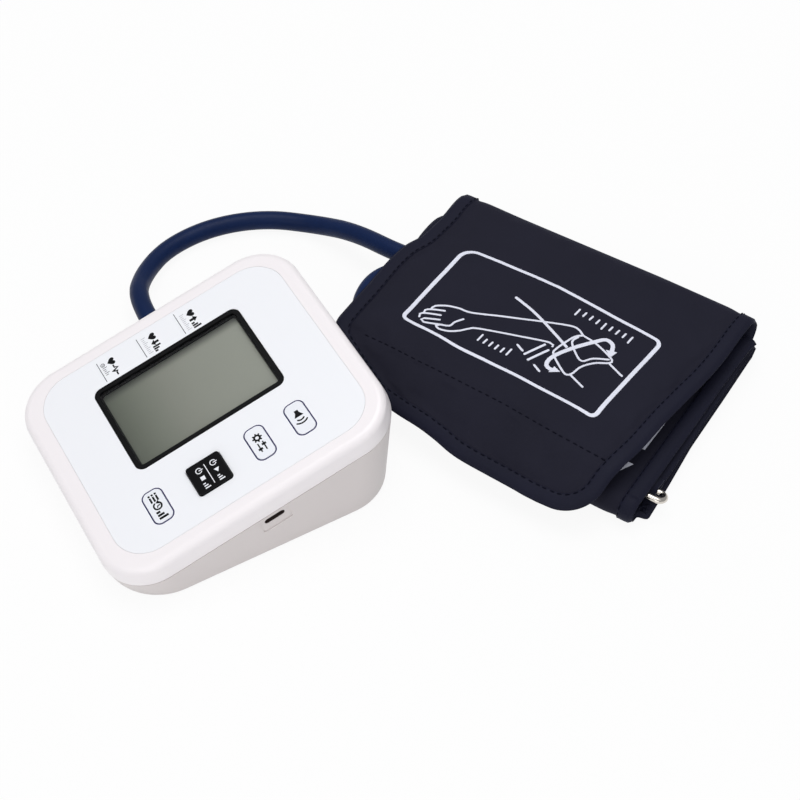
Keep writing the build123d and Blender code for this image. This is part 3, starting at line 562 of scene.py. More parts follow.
def stitches(name, rows, body=None):
    """Rows of short thread stitches. A row is a cloth, its flat line and a height above the centre line."""
    points, faces = [], []
    for cloth, line, height in rows:
        fine = resample(line, 0.4)
        way = 0.0
        for one, two in zip(fine, fine[1:]):
            way += (two - one).length
            if way < STITCH_PITCH:
                continue
            way -= STITCH_PITCH
            along = (two - one).normalized()
            side = along.orthogonal()
            faces += loft_faces(5, 6, len(points))
            for t, radius in ((-0.5, 0.25), (-0.36, 0.85), (0.0, 1.0), (0.36, 0.85), (0.5, 0.25)):
                centre = two + along * (STITCH_LENGTH * t)
                rise = height + 0.10 * (1 - 4 * t * t)
                for k in range(6):
                    angle = k * pi / 3
                    flat = centre + side * (THREAD * radius * cos(angle))
                    points.append(cloth(max(flat.x, 0.0), flat.y, rise + THREAD * radius * sin(angle)))
    return solid(name, points, faces, CUFF_THREAD, body)


def inset_line(outline, inward):
    """Where the stitches run inside an outline."""
    line = resample(outline, 2.0)
    return [here + side * (inward * STITCH_INSET) for here, side in zip(line, sides(line))]


def evaluated(piece):
    bpy.context.view_layer.update()
    return piece.evaluated_get(bpy.context.evaluated_depsgraph_get())


def puff(piece, held, pressure, slack, cap, frames=20):
    """Cloth simulation of a sewn pad: its seams stay, and the plies between them swell and pucker."""
    group = piece.vertex_groups.new(name="seams")
    group.add(held, 1.0, "REPLACE")
    before = [v.co.copy() for v in piece.data.vertices]
    cloth = piece.modifiers.new("cloth", "CLOTH")
    give(cloth.settings, quality=5, mass=0.3, tension_stiffness=12.0, compression_stiffness=12.0,
         shear_stiffness=4.0, bending_stiffness=0.4, vertex_group_mass="seams", use_pressure=True,
         uniform_pressure_force=pressure, shrink_min=-slack)
    cloth.settings.effector_weights.gravity = 0.0
    give(cloth.point_cache, frame_start=1, frame_end=frames)
    for step in range(1, frames + 1):
        SCENE.frame_set(step)
    after = [v.co.copy() for v in evaluated(piece).to_mesh().vertices]
    piece.modifiers.remove(cloth)
    SCENE.frame_set(1)
    for vertex, old, new in zip(piece.data.vertices, before, after):
        move = new - old
        if move.length > cap * MM:
            move = move.normalized() * cap * MM
        vertex.co = old + move
    piece.vertex_groups.remove(group)


def subdivide(piece):
    """One smooth subdivision, applied."""
    give(piece.modifiers.new("smooth", "SUBSURF"), levels=1, render_levels=1)
    fine = bpy.data.meshes.new_from_object(evaluated(piece))
    piece.modifiers.clear()
    piece.data = fine
    fine.polygons.foreach_set("use_smooth", [True] * len(fine.polygons))


def wave(s, a, size, seed):
    """Smooth unevenness of cloth, -1 to 1."""
    return noise.noise(Vector((s / size, a / size, seed)))


def shifted(start, points, side=0.0):
    """Flat points that are given from a length along the cloth and from a side."""
    return [(start + s, side + a) for s, a in points]


def even(start, end, step):
    count = max(1, round((end - start) / step))
    return [start + (end - start) * k / count for k in range(1, count + 1)]


def marks(first, *runs):
    """Lengths where a cloth's mesh is divided: the first ones, then evenly to each run's end in its step."""
    found = list(first)
    for end, step in runs:
        found += even(found[-1], end, step)
    return found


# ---- cuff: the folded strip below
fold_low = RING_MID / 2 - BOTTOM_MID / 2
fold_near = (MIDDLE_MID - BOTTOM_MID) / 2
RING_RUN = RING_BAR - 1.4
SEWN = 0.4             # the middle layer is sewn this far into the start of the flap
strip_path = Path(RING_RUN, RING_MID, 180)
strip_path.run(RING_RUN).arc(fold_low, pi).run(NEAR_START).arc(fold_near, pi).run(NEAR_START + SEWN)
BOTTOM_S = RING_RUN + pi * fold_low
MIDDLE_S = BOTTOM_S + NEAR_START + pi * fold_near
STRIP_END = strip_path.length - SEWN - 0.3


def corner_curl(a):
    """How far the far-right corner, where the middle layer meets the flap, curls up."""
    return ease(a, 112.0, 133.0)


def strip_lift(s, a):
    if s > MIDDLE_S:
        return -0.35 * wave(s, a, 30.0, 2.0) - 1.4 * corner_curl(a) * ease(s, STRIP_END - 18.0, STRIP_END)
    way = (s - RING_RUN) / (BOTTOM_S - RING_RUN)
    if 0.0 < way < 1.0:
        return -3.0 * sin(pi * way) ** 2 * ease(a, 50.0, 130.0)
    return 0.0


strip = folded(strip_path, strip_lift)
STRIP_RIGHT = (
    [(0.0, CUFF_WIDTH + LOWER_RIGHT)]
    + shifted(BOTTOM_S, [(0.0, 1.1), (22.0, 1.3), (52.0, 1.3), (74.0, 2.6), (LOWER_END - 0.4, 3.3),
                         (LOWER_END + 0.6, -1.0)], CUFF_WIDTH)
    + shifted(MIDDLE_S, [(0.0, -0.2), (40.0, 0.4)], CUFF_WIDTH)
    + shifted(strip_path.length, [(-14.7, 0.8), (-3.7, 1.7), (0.0, 2.6)], CUFF_WIDTH))
STRIP_LEFT = [(0.0, LOWER_LEFT), (BOTTOM_S + LOWER_END, LOWER_LEFT), (BOTTOM_S + NEAR_START, 0.0),
              (STRIP_END - 64.0, 0.0)] + soft_curve(
    shifted(STRIP_END, [(-63.0, -0.1), (-44.0, -3.0), (-30.0, -7.6), (-22.0, -9.4), (-13.0, -9.7), (-7.0, -8.9),
                        (-3.5, -6.6), (0.0, -2.0)]) + [(strip_path.length, -1.6)], 2.0)


def polyester(name, colour, light, roughness=0.78, sheen=0.12, ripple=11.0):
    """Polyester cloth: low ripples some millimetres wide, fine fuzz, a soft sheen and slight tone changes."""
    m = Nodes(name)
    bsdf = m.shader(colour, roughness, Sheen_Weight=sheen, Sheen_Roughness=0.45, Specular_IOR_Level=0.16,
                    Sheen_Tint=srgb(120, 126, 170))
    turned = m.place(Rotation=(0, 0, -CUFF_TURN))
    ripples = [m.add("TexWave", Vector=turned, Scale=314.16 / ripple, Distortion=0.6, Detail=1.0,
                     props={"wave_type": "BANDS", "bands_direction": way, "wave_profile": "SIN"})
               for way in ("X", "Y")]
    fuzz = m.noise(turned, 1400.0, 2.0)
    base = m.mix(m.spread(m.noise(turned, 28.0, 4.0), 0, 1), colour, light)
    m.fill(bsdf["Base Color"], m.mix(m.spread(fuzz, 0, 0.5), base, light))
    crossed = m.math("MULTIPLY", *(node.outputs["Fac"] for node in ripples))
    m.bump(bsdf, m.math("ADD", crossed, fuzz), 0.22, 0.00015)
    return m.owner


CUFF_FABRIC = polyester("cuff_fabric", srgb(23, 23, 35), srgb(28, 28, 42))
CUFF_BINDING = polyester("cuff_binding", srgb(17, 18, 33), srgb(22, 23, 41), roughness=0.66, ripple=16.0)
CUFF_THREAD = moulded("cuff_thread", srgb(8, 9, 24), 0.8, grain=0.3, shine=0.1)
CUFF_PRINT = moulded("cuff_print", srgb(226, 228, 242), 0.5, grain=0.25, tone=0.05)
HOOK_TAPE = polyester("hook_tape", srgb(24, 25, 34), srgb(40, 41, 52), roughness=0.6, sheen=0.6, ripple=28.0)


def make_strip():
    """Ring layer, bottom layer with the bladder's pouch and middle layer: one folded strip."""
    left = [Vector(p) for p in STRIP_LEFT]
    right = rounded(STRIP_RIGHT, [20.0, 30.0, 30.0, 30.0, 1.2, 1.2, 8.0, 30.0, 12.0, 2.0], 0.6)
    stations = marks((0.0, 0.5, 1.3), (RING_RUN, 6.0), (BOTTOM_S, 1.6), (BOTTOM_S + 8.0, 2.0),
                     (BOTTOM_S + LOWER_END - 1.0, 4.5), (BOTTOM_S + LOWER_END + 1.5, 0.4), (MIDDLE_S, 1.5),
                     (strip_path.length - 2.0, 3.6), (strip_path.length, 1.0))

    def half(s, a, d):
        up = down = panel_half(d)
        close = min(s, strip_path.length - s)
        if close < 2.0:
            up = down = up * (0.3 + 0.35 * close)
        pouch = s - BOTTOM_S
        if 0.0 < pouch < 76.0:
            up += 2.9 * ease(pouch, 1.5, 12.0) * (1 - ease(pouch, 64.0, 75.0)) * ease(d, 7.0, 16.0)
        return up, -down

    body = cloth_body("cuff_strip", strip, left[::-1] + right, stations, half, bays=34)[0]
    subdivide(body)
    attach(body, "folded_cuff")
    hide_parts("cuff_ring_panel", "cuff_bladder_panel", "cuff_middle_panel", "air_bladder")
    pieces, seams = [], []
    for side, line, inward in (("right", right, -1.0), ("left", left, 1.0)):
        pieces.append(binding(f"strip_binding_{side}", strip, line, inward, "folded_cuff"))
        seams += [(strip, inset_line(line, inward), rise) for rise in (-STITCH_RISE, STITCH_RISE)]
    pieces.append(stitches("strip_stitches", seams, "folded_cuff"))
    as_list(pieces)
    return body


# ---- cuff: the top flap
fold_far = (FLAP_MID - MIDDLE_MID) / 2
bend_reach = BEND_RADIUS * tan(FLAP_DROOP / 2)
flap_path = Path(0.3, MIDDLE_MID, 180)
flap_path.run(0.3).arc(fold_far, -pi)
TOP_S = flap_path.length
flap_path.run(FLAP_BEND - bend_reach).arc(BEND_RADIUS, -FLAP_DROOP)
flap_path.run((FLAP_TIP - flap_path.b) / cos(FLAP_DROOP))
TIP_S = flap_path.length
SEAM_S = TOP_S + SEAM_B


def seam_at(a):
    """The seam under the print runs a little towards the tip on its right."""
    return SEAM_S + SEAM_SKEW * ease(a, 50.0, 125.0)


def flap_lift(s, a):
    b = s - TOP_S
    if b < 2.0:
        inward = 1.45 * (1 - min(max((a - 25.0) / 67.0, 0.0), 1.0)) * sin(pi * s / (TOP_S + 2.0))
        return -inward - 1.4 * corner_curl(a) * (1 - ease(s, 0.0, 0.6 * TOP_S))
    calm = ease(b, 2.0, 14.0)
    low = 0.75 * wave(s, a, 34.0, 5.0) + 0.3 * wave(s, a, 13.0, 9.0)
    return low * calm * (1 - 0.6 * ease(b, 96.0, 112.0))


flap = folded(flap_path, flap_lift)


def flap_outline():
    """The flap's flat cut: left edge, near-left cut beside the monitor, tip and right edge."""
    left = soft_curve([(0.0, -1.4)] + shifted(TOP_S, [
        (-3, -1.7), (5, -2.1), (14, -1.9), (22, -2.4), (30, -3.2), (38, -6.0), (49, -7.2), (64, -7.1),
        (80, -7.0)]), 2.0)
    near = rounded([left[-1]] + shifted(TOP_S, [(93.0, -6.9), (109.0, 24.0), (110.6, 36.0)]), [14.0, 14.0])
    near += soft_curve(shifted(TOP_S, [
        (110.8, 38.0), (111.5, 46.0), (112.9, 54.0), (114.8, 62.0), (115.6, 69.0), (116.0, 80.0),
        (116.3, 90.0)]) + [(TIP_S, 96.0)], 2.0)
    near += rounded([(TIP_S, 101.5), (TIP_S - 1.0, 120.4), (TOP_S + 97.0, 122.6)], [16.4])
    right = soft_curve([near[-1]] + shifted(TOP_S, [
        (90, 124.2), (79, 126.3), (62, 128.1), (50, 129.7), (27, 132.6), (6, 133.3), (-3, 133.9),
        (-8, 134.6)]) + [(3.0, 135.2), (0.0, 135.8)], 2.0)
    return left[:-1] + near + right[1:]


def make_flap():
    outline = flap_outline()
    stations = marks((0.0, 0.6, 1.2), (TOP_S, 1.5), (SEAM_S - 3.0, 2.8), (SEAM_S + SEAM_SKEW + 3.0, 0.9),
                     (TIP_S - RIM_STEPS[-1], 1.6))
    stations += [TIP_S - u for u in reversed(RIM_STEPS[:-1])]

    def half(s, a, d):
        up = panel_half(d) * seam_dip(s, a)
        if s < 1.5:
            up *= 0.3 + 0.45 * s
        return up, -up

    body, distance, places, top = cloth_body("cuff_top_flap", flap, outline, stations, half, bays=38)
    count = len(places) // len(stations)
    held = []
    for index, (s, a) in enumerate(places):
        i, j = divmod(index, count)
        if distance[index] < BINDING + 1.1 or s < TOP_S - 1.0 or abs(s - seam_at(a)) < 0.9:
            held.append(top[i, j])
            if not (i in (0, len(stations) - 1) or j in (0, count - 1)):
                held.append(top[i, j] + 1)
    puff(body, held, pressure=1.2, slack=0.010, cap=0.9)
    subdivide(body)
    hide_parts("cuff_flap")
    rim = binding("flap_binding", flap, outline, 1.0)
    left, right = span(outline, SEAM_S)
    seam = [Vector((seam_at(a), a)) for a in even(left + BINDING + 1.0, right - BINDING - 1.0, 4.0)]
    inner = inset_line(outline, 1.0)
    thread = stitches("flap_stitches", [(flap, inner, STITCH_RISE), (flap, inner, -STITCH_RISE),
                                        (flap, seam, 0.62), (flap, seam, -0.62)])
    return body, rim, thread


def flap_blend(piece):
    """Bakes the piece's placing into its mesh."""
    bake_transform(piece)


# ---- cuff: prints
PRINT_UP, PRINT_DOWN = 0.10, -0.2   # a print's slab above and below the cloth


def cloth_ground(piece):
    """Gives the function that says what lies a rise above a finished cloth, at a place of the stack."""
    tree = BVHTree.FromObject(piece, bpy.context.evaluated_depsgraph_get())

    def ground(a, b, rise):
        hit, normal, *_ = tree.ray_cast(in_stack(a, b, 60.0), Vector((0, 0, -1)))
        return hit + normal * rise * MM
    return ground


def ribbon(ground, line, width, closed=False, ends=0.0):
    """Printed line on cloth: a thin closed slab that follows the surface, broader by `ends` where it runs across."""
    line = resample([Vector(p) for p in line], 1.3)
    if closed:
        line = line[:-1]
    sections = [(here, side, (width + ends * side.x ** 2) / 2) for here, side in zip(line, sides(line, closed))]
    if not closed:
        for end, back in ((0, 1), (-1, -2)):
            here, side, half = sections[end]
            away = (line[end] - line[back]).normalized()
            tips = [(here + away * half * sin(t), side, half * cos(t)) for t in (0.6, 1.1, 1.4)]
            sections = tips[::-1] + sections if end == 0 else sections + tips
    points = []
    for here, side, half in sections:
        for across, rise in ((-1, PRINT_UP), (1, PRINT_UP), (1, PRINT_DOWN), (-1, PRINT_DOWN)):
            flat = here + side * (half * across)
            points.append(ground(flat.x, flat.y, rise))
    return points, loft_faces(len(sections), 4, closed=closed)


def patch(ground, corners):
    """Printed quadrilateral or triangle, as a fine closed slab."""
    a, b, c, d = [Vector(p) for p in (corners if len(corners) == 4 else [*corners, corners[-1]])]
    steps = [k / 8 for k in range(9)]
    points = []
    for i in steps:
        line = [a.lerp(b, i).lerp(d.lerp(c, i), j) for j in steps]
        points += [ground(*flat, PRINT_UP) for flat in line] + [ground(*flat, PRINT_DOWN) for flat in reversed(line)]
    return points, loft_faces(len(steps), 2 * len(steps))


def join_parts(name, parts, material, body):
    points, faces = [], []
    for more_points, more_faces in parts:
        faces += [tuple(len(points) + k for k in face) for face in more_faces]
        points += more_points
    return solid(name, points, faces, material, body, smooth=False)


def print_on_flap(ground):
    """White frame with a how-to-wear pictogram: an arm, a cuff round it and the way to wrap it."""
    parts = []
    frame_line = rounded([(60, 25.1), (108.8, 29.0), (104.4, 76.6), (15.2, 73.4), (17.2, 26.8), (60, 25.1)],
                         [3.0, 2.6, 2.2, 6.5], 0.8)
    parts.append(ribbon(ground, frame_line, 1.3, closed=True, ends=0.45))
    thin = 0.85

    def draw(points, width=thin, curved=True):
        line = soft_curve(points, 1.0) if curved else [Vector(p) for p in points]
        parts.append(ribbon(ground, line, width))

    draw([(22.6, 63.3), (23.2, 61.1), (27.2, 58.5), (32.0, 57.0), (37.5, 56.3), (50.0, 50.9), (62.8, 45.3),
          (73.5, 41.2), (77.5, 40.8), (80.9, 42.7)])
    draw([(29.0, 70.0), (30.8, 70.9), (34.6, 69.9), (38.2, 67.3), (41.0, 64.2), (44.0, 62.2), (58.0, 57.6),
          (71.5, 53.4), (73.6, 54.6)])
    draw([(29.0, 70.0), (30.2, 68.7), (33.6, 67.2), (34.4, 64.2), (36.4, 61.1)])
    draw([(27.8, 61.3), (23.0, 63.4), (20.9, 65.1), (21.2, 66.7)])
    draw([(27.6, 64.2), (22.0, 66.4), (20.2, 67.9), (20.8, 69.4)])
    draw([(28.6, 66.5), (23.0, 69.1), (22.2, 70.2), (23.8, 71.0), (31.0, 68.3)])
    cuff_edge = [(81.0, 42.7), (78.2, 45.4), (75.4, 55.0), (76.2, 58.2), (82.6, 63.2), (85.4, 64.4), (87.0, 62.6),
                 (88.2, 57.6), (91.6, 53.0), (96.2, 50.0), (96.6, 47.8), (90.0, 44.6), (85.5, 43.2)]
    parts.append(ribbon(ground, soft_curve(cuff_edge + cuff_edge[:1], 1.0), thin, closed=True))
    draw([(79.6, 44.6), (78.8, 48.0), (83.0, 52.6), (86.9, 54.8), (90.0, 51.2), (95.4, 48.4)])
    draw([(96.4, 50.0), (103.8, 53.2)], curved=False)
    draw([(86.6, 63.6), (93.6, 66.4)], curved=False)
    draw([(48.3, 39.6), (56.0, 41.6), (64.0, 44.8), (78.2, 51.6)], 1.2)
    draw([(79.6, 65.4), (76.4, 64.4), (76.2, 59.6), (80.6, 50.8), (86.4, 42.8), (89.6, 39.6), (93.0, 40.6),
          (94.4, 44.0)], 1.7)
    parts.append(patch(ground, [(78.8, 67.0), (82.6, 64.4), (79.4, 63.2)]))
    parts.append(patch(ground, [(92.0, 44.4), (95.4, 47.0), (96.4, 43.2)]))
    for shift in (0.0, 2.6):
        draw([(66.4 + shift, 64.1 + 0.7 * shift), (70.6 + shift, 55.4 + 0.7 * shift)], 1.0, curved=False)
    for end, tip in (((61.6, 61.4), (64.8, 63.0)), ((75.6, 68.6), (72.4, 67.0))):
        draw([end, tip], 0.9, curved=False)
    for count, every, a, b, step_a, step_b, way in ((6, 5, 47.0, 67.6, 2.7, 0.12, -1),
                                                    (9, 4, 73.0, 31.2, 3.1, 0.22, 1)):
        for k in range(count):
            tick = way * (3.4 if k % every == 0 else 2.2)
            foot = (a + step_a * k, b + step_b * k)
            draw([foot, (foot[0] - 0.3 * way, foot[1] + tick)], 0.8, curved=False)
    return join_parts("flap_print", parts, CUFF_PRINT, "top_flap")


def print_on_middle(ground):
    """Range bars printed on the middle layer, most of them under the flap."""
    parts = [patch(ground, [(119.0, 40.0), (126.0, 44.0), (125.0, 71.6), (119.0, 71.4)]),
             patch(ground, [(117.5, 80.0), (124.6, 80.1), (118.5, 91.5)])]
    join_parts("middle_print", parts, CUFF_PRINT, "folded_cuff")


def make_hook_tape():
    """Hook tape sewn under the flap's end: a thin slab with a pinched, stitched border."""
    s0, s1, a0, a1 = TOP_S + 92.5, TIP_S - 12.3, 34.0, 106.0
    outline = rounded([(s0, a0 + 30), (s0, a0), (s1, a0 + 2.0), (s1, a1 - 2.0), (s0, a1), (s0, a0 + 30.2)],
                      [3.0] * 4, 0.8)
    rings = ((0.0, 0.2), (0.0, 0.75), (0.5, 0.95), (1.6, 0.85), (3.0, 0.95))
    centre = Vector(((s0 + s1) / 2, (a0 + a1) / 2))
    line = resample(outline, 1.5)[:-1]
    points = []
    for inset, deep in rings:
        for p in line:
            flat = p + (centre - p).normalized() * inset
            points.append(flap(flat.x, flat.y, -HALF_CLOTH - 0.1 - deep))
    piece = solid("hook_tape", points, loft_faces(len(rings), len(line)), HOOK_TAPE, "top_flap",
                  smooth=False)
    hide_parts("hook_patch")
    return piece


def make_ring_hem():
    """Thin ply sewn round the wire ring's bar and down onto the ring layer."""
    outer, inner, tail = 2.3, 1.42, 5.5

    def bow(radius, degrees):
        return [(radius * sin(t), radius * cos(t)) for t in map(radians, degrees)]

    section = [(-tail, 1.35), *bow(outer, range(-20, 201, 20)), (-tail, -1.35), (-tail, -0.7),
               *bow(inner, range(205, -26, -23)), (-tail, 0.7)]
    points = []
    stations = even(LOWER_LEFT - 5.0, LOWER_RIGHT + CUFF_WIDTH, 5.0)
    stations = [LOWER_LEFT] + [a for a in stations if a > LOWER_LEFT + 1]
    for a in stations:
        drift = 0.12 * wave(a, 0.0, 9.0, 3.0)
        points += [in_stack(a, RING_BAR + b, RING_MID + z + drift) for b, z in section]
    solid("ring_hem", points, loft_faces(len(stations), len(section)), CUFF_BINDING, "folded_cuff")


def make_cuff():
    strip_body = make_strip()
    make_ring_hem()
    print_on_middle(cloth_ground(strip_body))
    flap_body, rim, thread = make_flap()
    decor = print_on_flap(cloth_ground(flap_body))
    tape = make_hook_tape()
    for piece in (flap_body, rim, thread):
        flap_blend(piece)


make_cuff()

# ---- prints on the face and the keys
INK_BLACK = moulded("ink_black", srgb(10, 10, 13), 0.5, grain=0.02, shine=0.15)
INK_GREY = moulded("ink_grey", srgb(176, 177, 184), 0.5, grain=0.02)
INK_LINE = moulded("ink_line", srgb(46, 46, 58), 0.5, grain=0.02, shine=0.2)
KEY_SEAL = moulded("key_seal", srgb(44, 38, 92), 0.6, grain=0.02, shine=0.15)
INK_WHITE = moulded("ink_white", srgb(236, 238, 244), 0.4, grain=0.02)

KEY_U = 29.6
KEY_ROWS = {"memory": -32.8, "start": -10.6, "settings": 11.3, "voice": 28.8}
MARK = 3.3             # height of the symbols beside the display
MARK_LEFT = -42.3
DISPLAY_U = -32.9      # the rules beside the display end here


class Ink:
    """Collects one print's strokes and shapes, in millimetres from a place on the face."""

    def __init__(self, level, u=0.0, v=0.0):
        self.ground = lambda u, v, rise: on_face(u, v, level + (0.04 if rise > 0 else -0.08))
        self.parts = []
        self.origin = u, v
        self.at(0.0, 0.0)

    def at(self, u, v):
        """The centre of what is drawn next."""
        self.u, self.v = self.origin[0] + u, self.origin[1] + v
        return self

    def moved(self, points):
        return [(self.u + x, self.v + y) for x, y in points]

    def stroke(self, points, width, closed=False):
        line = self.moved(points)
        self.parts.append(ribbon(self.ground, line + line[:1] if closed else line, width, closed=closed))

    def ring(self, radius, width, start=0.0, turn=360.0):
        count = max(8, int(abs(turn) / 12))
        whole = abs(turn) >= 360.0
        angles = [radians(start + turn * k / count) for k in range(count + (not whole))]
        self.stroke([(radius * cos(t), radius * sin(t)) for t in angles], width, closed=whole)

    def shape(self, points):
        """Filled outline."""
        outline = self.moved(points)
        corners = [self.ground(u, v, side) for side in (1, -1) for u, v in outline]
        self.parts.append((corners, loft_faces(2, len(outline))))

    def bar(self, x, y, width, height):
        w, h = width / 2, height / 2
        self.shape([(x - w, y - h), (x + w, y - h), (x + w, y + h), (x - w, y + h)])

    def bars(self, x, base, step, width, heights):
        """Row of bars on a line."""
        for k, height in enumerate(heights):
            self.bar(x + step * k, base + height / 2, width, height)

    def finish(self, name, body, material):
        join_parts(name, self.parts, material, body)


def heart(ink):
    half = [(0, -1.6), (-1.35, -0.35), (-1.75, 0.45), (-1.6, 1.15), (-1.05, 1.55), (-0.45, 1.45), (0, 0.95)]
    ink.shape(half + [(-x, y) for x, y in half[-2:0:-1]])


def arrow(ink, way):
    outline = [(-0.55, -1.65), (0.55, -1.65), (0.55, 0.0), (1.45, 0.0), (0, 1.65), (-1.45, 0.0), (-0.55, 0.0)]
    ink.shape([(x, y * way) for x, y in outline])


def scale_ticks(ink, width):
    """Row of small ticks, as on a gauge."""
    count = round(width / 0.9)
    ink.bars(0, 0, width / count, 0.22, [1.2 if k % 3 else 1.9 for k in range(count + 1)])


def print_face():
    """Symbols and rules left of the display, one group for each reading."""
    bold, grey, rule, small = (Ink(0.0) for _ in range(4))
    for base, way in ((14.45, 1), (-3.1, -1)):
        middle = base + MARK / 2
        heart(bold.at(MARK_LEFT + 1.75, middle))
        arrow(bold.at(MARK_LEFT + 5.0, middle), way)
        bold.at(MARK_LEFT + 7.9, middle).bars(-1.05, -MARK / 2, 1.1, 0.8, (1.3, 2.3, 3.3)[::way])
        scale_ticks(grey.at(MARK_LEFT + 0.4, base - 2.6), 8.1)
    heart(bold.at(MARK_LEFT + 1.75, -19.9))
    beat = [(0, 0), (1.1, 0), (1.7, 1.4), (2.6, -1.5), (3.3, 0.6), (3.7, 0), (4.9, 0)]
    bold.at(MARK_LEFT + 4.0, -19.9).stroke(beat, 0.66)
    small.at(MARK_LEFT + 1.4, -23.45).ring(0.75, 0.26)
    small.stroke([(0, 0.5), (0, 0), (0.35, -0.2)], 0.2)
    scale_ticks(small.at(MARK_LEFT + 2.9, -24.2), 3.6)
    for start, v in ((-44.4, 10.45), (-43.3, -7.15), (-43.3, -25.2)):
        rule.at(start, v).bar((DISPLAY_U - start) / 2, 0, DISPLAY_U - start, 0.26)
    bold.finish("face_marks", "monitor", INK_BLACK)
    grey.finish("face_scales", "monitor", INK_GREY)
    small.finish("face_pulse_scale", "monitor", INK_LINE)
    rule.finish("face_rules", "monitor", INK_LINE)


def round_box(width, length, radius):
    """Rounded rectangle about the origin; its last point repeats the first."""
    w, h = width / 2, length / 2
    return rounded([(0, -h), (w, -h), (w, h), (-w, h), (-w, -h), (0, -h)], [radius] * 4, 0.5)


def memory_symbols(ink):
    """List, look-back clock and bar chart."""
    for k in (-1, 0, 1):
        ink.bar(-5.4, 1.32 * k, 0.8, 0.8)
        ink.bar(-3.4, 1.32 * k, 2.5, 0.74)
    ink.ring(1.55, 0.66, 150.0, -300.0)
    ink.shape([(-2.35, 1.05), (-0.55, 1.05), (-1.4, -0.3)])
    ink.stroke([(0, 0.85), (0, 0), (0.6, -0.3)], 0.46)
    ink.at(4.2, 0).bars(-1.45, -1.85, 1.4, 0.95, (1.6, 2.7, 3.8))


def settings_symbols(ink):
    """Gear and two sliders."""
    ink.at(-2.3, 0).ring(1.1, 0.76)
    for k in range(8):
        x, y = cos(radians(45 * k)), sin(radians(45 * k))
        ink.stroke([(1.35 * x, 1.35 * y), (1.75 * x, 1.75 * y)], 0.64)
    ink.at(2.2, 0)
    for y, knob in ((1.05, -0.8), (-1.05, 0.7)):
        ink.bar(0, y, 4.2, 0.52)
        ink.bar(knob, y, 0.95, 1.75)


def voice_symbols(ink):
    """Loudspeaker with two waves."""
    ink.shape([(-3.6, -0.8), (-2.4, -0.8), (-0.6, -1.9), (-0.6, 1.9), (-2.4, 0.8), (-3.6, 0.8)])
    ink.at(-0.9, 0)
    for radius in (2.1, 3.6):
        ink.ring(radius, 0.62, -38.0, 76.0)


def start_symbols(ink):
    """Power mark, start triangle and stop square about a dividing line."""
    ink.at(0, 0.05).bar(0.35, 0, 9.6, 0.32)
    for row in (3.3, -2.8):
        ink.at(-3.0, row).ring(1.15, 0.36, 125.0, 290.0)
        ink.stroke([(0, 0.1), (0, 1.5)], 0.36)
    ink.at(0.6, 3.3).shape([(-0.8, -1.1), (1.1, 0.0), (-0.8, 1.1)])
    ink.at(0.7, -2.8).bar(0, 0, 1.8, 1.8)
    for row in (3.3, -2.8):
        ink.at(3.2, row).bars(0, -1.15, 1.05, 0.5, (1.1, 1.7, 2.3))


def print_keys():
    """Symbols on the keys, and the thin dark seal seen in the gap all round each white key."""
    drawings = {"memory": memory_symbols, "settings": settings_symbols, "voice": voice_symbols}
    for key, draw in drawings.items():
        seal = Ink(0.0, KEY_U, KEY_ROWS[key])
        seal.stroke(round_box(15.35, 8.25, 2.8)[:-1], 0.42, closed=True)
        seal.finish(f"{key}_key_seal", "monitor", KEY_SEAL)
        symbols = Ink(0.25, KEY_U, KEY_ROWS[key])
        draw(symbols)
        symbols.finish(f"{key}_key_symbols", f"{key}_button", INK_BLACK)
    symbols = Ink(1.4, KEY_U + 0.3, KEY_ROWS["start"])
    start_symbols(symbols)
    symbols.finish("start_key_symbols", "start_button", INK_WHITE)


def make_panel_front():
    """Front plate of the display panel: stands on the glass, close under the window."""
    outline = round_box(39.2, 60.6, 1.6)[:-1]
    corners = [on_face(-9.8 + x, y, n) for n in (-2.35, -4.3) for x, y in outline]
    solid("panel_front", corners, loft_faces(2, len(outline)), LCD_GREY, "monitor", smooth=False)


def make_port_slot_shade():
    """Dark lining of the slot in the right wall, round the charging port: painted shade in the slot."""
    v, n, depths = 1.354, -12.5, (52.5, 50.2)
    rows = []
    for (width, height), order in (((8.52, 2.62), 1), ((8.0, 2.1), -1)):
        radius = height / 2
        loop = []
        for side, start in ((1, -90), (-1, 90)):
            for k in range(13):
                t = radians(start + 15 * k)
                loop.append((side * (width / 2 - radius) + radius * cos(t), radius * sin(t)))
        rows += [[on_face(u, v + x, n + y) for x, y in loop] for u in depths][::order]
    faces = loft_faces(len(rows), len(rows[0]), closed=True)
    solid("port_slot_shade", [p for row in rows for p in row], faces, PORT_DARK_AND_SLOT_SHADE, "monitor", smooth=False)


print_face()
print_keys()
make_panel_front()
make_port_slot_shade()

# ---- floor, light and camera
FLOOR_HALF = 3.0
FLOOR_GLOW = 0.92      # share of the floor that is plain white to the camera; the rest shows shadows


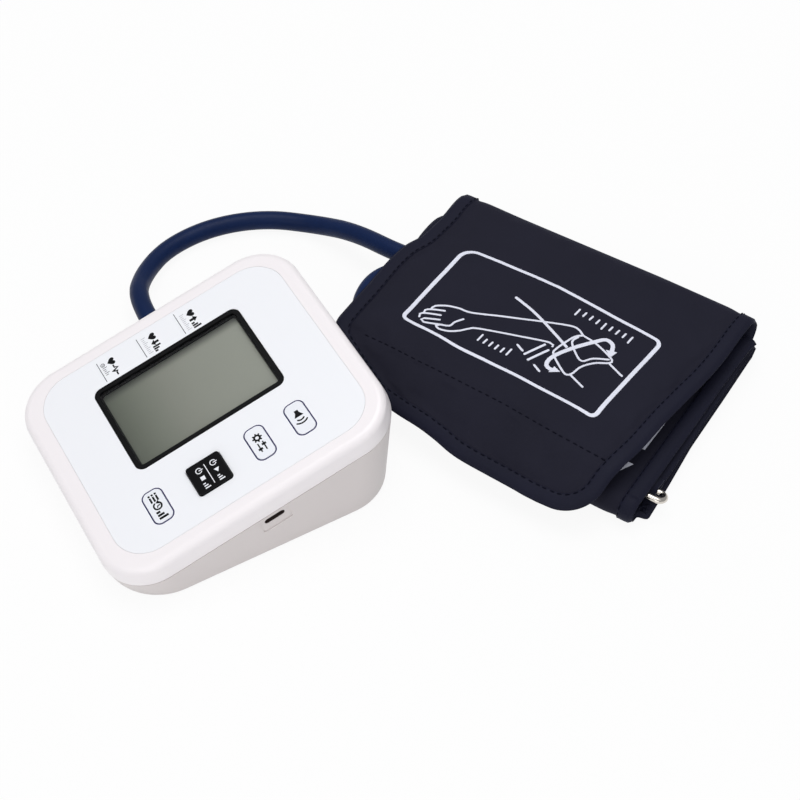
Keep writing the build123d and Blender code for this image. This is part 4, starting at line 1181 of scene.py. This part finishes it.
def make_floor():
    """White to the camera and in reflections, and still shows shadows."""
    m = Nodes("floor_white")
    path = m.add("LightPath").outputs
    seen = m.math("MAXIMUM", path["Is Camera Ray"], path["Is Glossy Ray"])
    either = m.math("MAXIMUM", seen, path["Is Transmission Ray"])
    plain = m.add("BsdfDiffuse", Color=(0.86, 0.86, 0.86, 1))
    glow = m.add("Emission", Color=(1, 1, 1, 1))
    m.show_mix(m.math("MULTIPLY", either, FLOOR_GLOW), plain, glow)
    corners = [(x * FLOOR_HALF, y * FLOOR_HALF, 0) for x, y in ((-1, -1), (1, -1), (1, 1), (-1, 1))]
    new_mesh("floor", corners, [(0, 1, 2, 3)], m.owner, smooth=False)


def make_world():
    m = Nodes("studio", "worlds", "OutputWorld")
    SCENE.world = m.owner
    path = m.add("LightPath").outputs
    seen = m.math("MAXIMUM", path["Is Camera Ray"], path["Is Transmission Ray"])
    room = m.add("Background", Color=(0.97, 0.98, 1.0, 1), Strength=0.42)
    m.show_mix(seen, room, m.add("Background", Strength=1.0))


def make_lamp(name, place, aim, size, power):
    lamp = put(name, give(bpy.data.lights.new(name, "AREA"), shape="DISK", size=size, energy=power))
    way = Vector(aim) - Vector(place)
    give(lamp, location=place, rotation_euler=way.to_track_quat("-Z", "Y").to_euler())


make_floor()
make_world()
make_lamp("key_lamp", (-0.25, 0.25, 1.5), (0.0, 0.06, 0.0), 1.2, 11.25)
make_lamp("side_lamp", (0.7, 0.3, 1.5), (0.0, 0.06, 0.0), 1.0, 1.8)
make_lamp("fill_lamp", (0.55, -0.95, 1.1), (0.0, 0.06, 0.0), 1.2, 3.6)
make_lamp("low_lamp", (0.95, -0.6, 0.3), (0.0, 0.0, 0.02), 0.9, 2.6)

VIEW_AZIMUTH = radians(60.4)
VIEW_ELEVATION = radians(50.8)
looking = Vector((-sin(VIEW_AZIMUTH) * cos(VIEW_ELEVATION),
                  cos(VIEW_AZIMUTH) * cos(VIEW_ELEVATION), -sin(VIEW_ELEVATION)))
lens = give(bpy.data.cameras.new("camera"), sensor_width=36.0, lens=81.0, clip_start=0.01, clip_end=20.0)
SCENE.camera = give(put("camera", lens), location=(0.4113, -0.1487, 0.5621), rotation_mode="QUATERNION",
                    rotation_quaternion=looking.to_track_quat("-Z", "Y"))
SCENE.view_settings.view_transform = "Standard"
